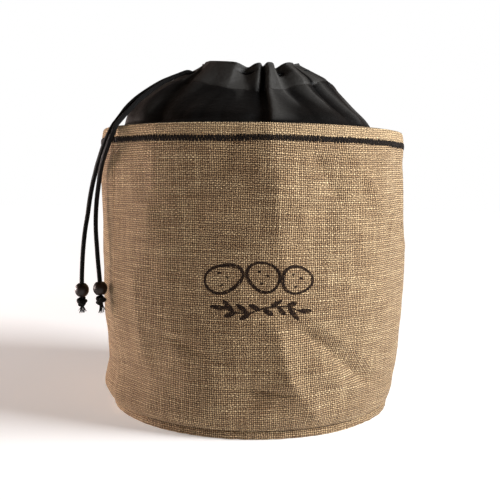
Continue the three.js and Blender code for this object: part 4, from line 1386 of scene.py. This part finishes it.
color = black.mix(black.spread(dust, 0.35, 0.75), (0.0026, 0.0025, 0.0024), (0.0058, 0.0056, 0.0053))
# Painted highlight: the doubled casing is mixed towards a lighter grey.
color = black.mix(black.math("MULTIPLY", doubled, 0.72), color, (0.0430, 0.0415, 0.0385))
# Painted highlight on the crests of the folds, then painted shade in the valleys and hollows.
color = black.mix(black.spread(crest, 0.38, 0.95), color, (0.0480, 0.0465, 0.0435))
color = black.mix(black.spread(crest, 0.30, 0.02), color, (0.0010, 0.0010, 0.0010))
set_shader(black, color, 0.42, black.bump(relief, 0.0010, 0.6), Specular_IOR_Level=0.13,
           Sheen_Weight=0.01, Sheen_Roughness=0.4)
sleeve.data.materials.append(black.material)
print("black cloth nodes:", len(black.tree.nodes))

# %% [markdown]
# The cord is a round braid of matt black bundles. Two sines of the bundles' count, one for each slant,
# make the braid's diamonds, and fine noise gives its fibres. The same finish is on the knots, the
# frayed strands and the ring of cord that is hidden in the casing.
# %% Cord finish
cord_finish = Finish("braided_cord")
bundle, lay = cord_finish.threads()
one = cord_finish.math("ADD", bundle, lay)
two = cord_finish.math("SUBTRACT", bundle, lay)
waved = [cord_finish.math("SINE", cord_finish.math("MULTIPLY", x, math.pi)) for x in (one, two)]
weave = [cord_finish.math("ABSOLUTE", x) for x in waved]
braid = cord_finish.math("POWER", cord_finish.math("MULTIPLY", *weave), 0.5)
hairs = cord_finish.noise(cord_finish.place(), 2600.0, 2.0, 0.6)
# Painted shade: the grooves between the braid's bundles are mixed darker than the bundles.
color = cord_finish.mix(braid, (0.0015, 0.0015, 0.0015), (0.0085, 0.0082, 0.0080))
set_shader(cord_finish, color, 0.62,
           cord_finish.bump(cord_finish.math("MULTIPLY_ADD", hairs, 0.25, braid), 0.0006),
           Specular_IOR_Level=0.12, Sheen_Weight=0.01, Sheen_Roughness=0.5)
for piece in (*cords.values(), *knots.values(), *frays.values()):
    piece.data.materials.append(cord_finish.material)
hidden_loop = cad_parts["cord_loop"]
hidden_loop.material_slots[0].material = cord_finish.material
print("cord finish on", len(cords) + len(knots) + len(frays) + 1, "pieces")

# %% [markdown]
# The beads are stained nearly black and waxed. Wood has lines along its grain, so the noise is
# stretched along the height, and small pores break up the shine.
# %% Wood finish
wood = Finish("dark_bead_wood")
spot = wood.place()
stretched = wood.add("ShaderNodeVectorMath", inputs={0: spot, 1: (1.0, 1.0, 0.16)}, operation="MULTIPLY")
rings = wood.noise(stretched, 620.0, 4.0, 0.65)
pores = wood.noise(stretched, 2600.0, 2.0, 0.6)
color = wood.mix(wood.spread(rings, 0.34, 0.68), (0.005, 0.0027, 0.0021), (0.021, 0.0090, 0.0056))
color = wood.mix(wood.spread(pores, 0.58, 0.7, 0.0, 0.7), color, (0.006, 0.003, 0.002))
set_shader(wood, color, 0.42, wood.bump(pores, 0.00012), Specular_IOR_Level=0.35)
for piece in beads.values():
    piece.data.materials.append(wood.material)
print("finishes:", [m.name for m in bpy.data.materials][:12])

# %% [markdown]
# The casing is closed by one line of straight black stitches, which follows the folds of the cloth. It
# is the rim's network again, with a stitch that lies along the line, and it stops beside the slit.
# %% Casing stitches
line = []
for number in range(len(turn)):
    depth_up = from_end[number, ::-1]
    radius = np.interp(CASING_DEPTH, depth_up, outside_skin[number, :leg][::-1, 0])
    stitch_height = np.interp(CASING_DEPTH, depth_up, outside_skin[number, :leg][::-1, 1])
    if abs(turn_between(SLIT_TURN, turn[number])) > 6.5:
        line.append(place(turn[number], radius, stitch_height))
running = small_stitch("running_stitch", 1.7 * MM, 0.42 * MM, 0.42 * MM)
running.data.transform(Matrix.Rotation(math.pi / 2, 4, "Y"))
stitch_row("casing_stitches", line, running, 2.3 * MM, 0.0, 0.1, 5, closed=False)

# %% [markdown]
# ## Floor
# The bag stands on a plain pale floor. In a white studio the floor is lit from all sides and runs into
# the wall behind without a line. Here it glows a little instead, more so with distance, which gives the
# same white ground and a soft light from below.
# %% Floor
bpy.ops.mesh.primitive_grid_add(x_subdivisions=8, y_subdivisions=8, size=9, location=(0, 0, 0))
floor = bpy.context.object
floor.name = "studio_floor"
pale = Finish("studio_floor")
away = pale.add("ShaderNodeVectorMath", 1, {0: pale.place()}, operation="LENGTH")
glow = pale.mix(pale.spread(away, 0.35, 2.4), (0.28, 0.276, 0.272), (0.96, 0.955, 0.95))
tone = pale.noise(pale.place(), 1.4, 2.0)
set_shader(pale, pale.mix(pale.spread(tone, 0.3, 0.7), (0.85, 0.838, 0.826), (0.87, 0.858, 0.846)), 0.9,
           Emission_Color=glow, Emission_Strength=1.0)
floor.data.materials.append(pale.material)
print("floor:", floor.name)

# %% [markdown]
# ## Air
# The world gives a weak warm light, stronger near the level than from above, as walls do. What the
# camera sees behind the bag is plain white: the Light Path node tells its rays from the others.
# %% Air
world = bpy.data.worlds.new("studio")
world.use_nodes = True
air = world.node_tree
soft = air.nodes["Background"]
soft.inputs["Color"].default_value = (1.0, 0.67, 0.49, 1)
heading = air.nodes.new("ShaderNodeTexCoord")
split = air.nodes.new("ShaderNodeSeparateXYZ")
rising = air.nodes.new("ShaderNodeMapRange")
air.links.new(heading.outputs["Generated"], split.inputs[0])
air.links.new(split.outputs[2], rising.inputs["Value"])
for label, amount in (("From Min", 0.0), ("From Max", 0.75), ("To Min", 0.168), ("To Max", 0.05)):
    rising.inputs[label].default_value = amount
air.links.new(rising.outputs[0], soft.inputs["Strength"])
screen = air.nodes.new("ShaderNodeBackground")
screen.inputs["Color"].default_value = (1, 1, 1, 1)
screen.inputs["Strength"].default_value = 1.0
path, both = air.nodes.new("ShaderNodeLightPath"), air.nodes.new("ShaderNodeMixShader")
air.links.new(path.outputs["Is Camera Ray"], both.inputs[0])
air.links.new(soft.outputs[0], both.inputs[1])
air.links.new(screen.outputs[0], both.inputs[2])
air.links.new(both.outputs[0], air.nodes["World Output"].inputs[0])
bpy.context.scene.world = world
bpy.context.scene.view_settings.view_transform = "Standard"
print("world:", world.name)

# %% [markdown]
# ## Lamps
# One large soft lamp high at the right skims over the front, so that every fold and thread shows. A
# low, wide and weaker one at the left, a little behind, keeps the shaded edge readable and warm.
# %% Lamps
def area_light(name, spot, size, power):
    data = bpy.data.lights.new(name, "AREA")
    data.shape = "RECTANGLE"
    data.size, data.size_y = size
    data.energy = power
    lamp = bpy.data.objects.new(name, data)
    aim = Vector((0, 0, 0.16)) - Vector(spot)
    lamp.rotation_euler = aim.to_track_quat("-Z", "Y").to_euler()
    lamp.location = spot
    bpy.context.scene.collection.objects.link(lamp)
    return lamp


key_light = area_light("key_light", (1.66, -0.45, 0.92), (0.8, 0.9), 72)
key_light.data.color = (0.98, 1.0, 1.03)
side_light = area_light("side_light", (-1.64, 0.56, 0.14), (1.0, 0.30), 52)
side_light.data.color = (1.0, 0.83, 0.79)
print("lamps, watts:", key_light.data.energy, side_light.data.energy)
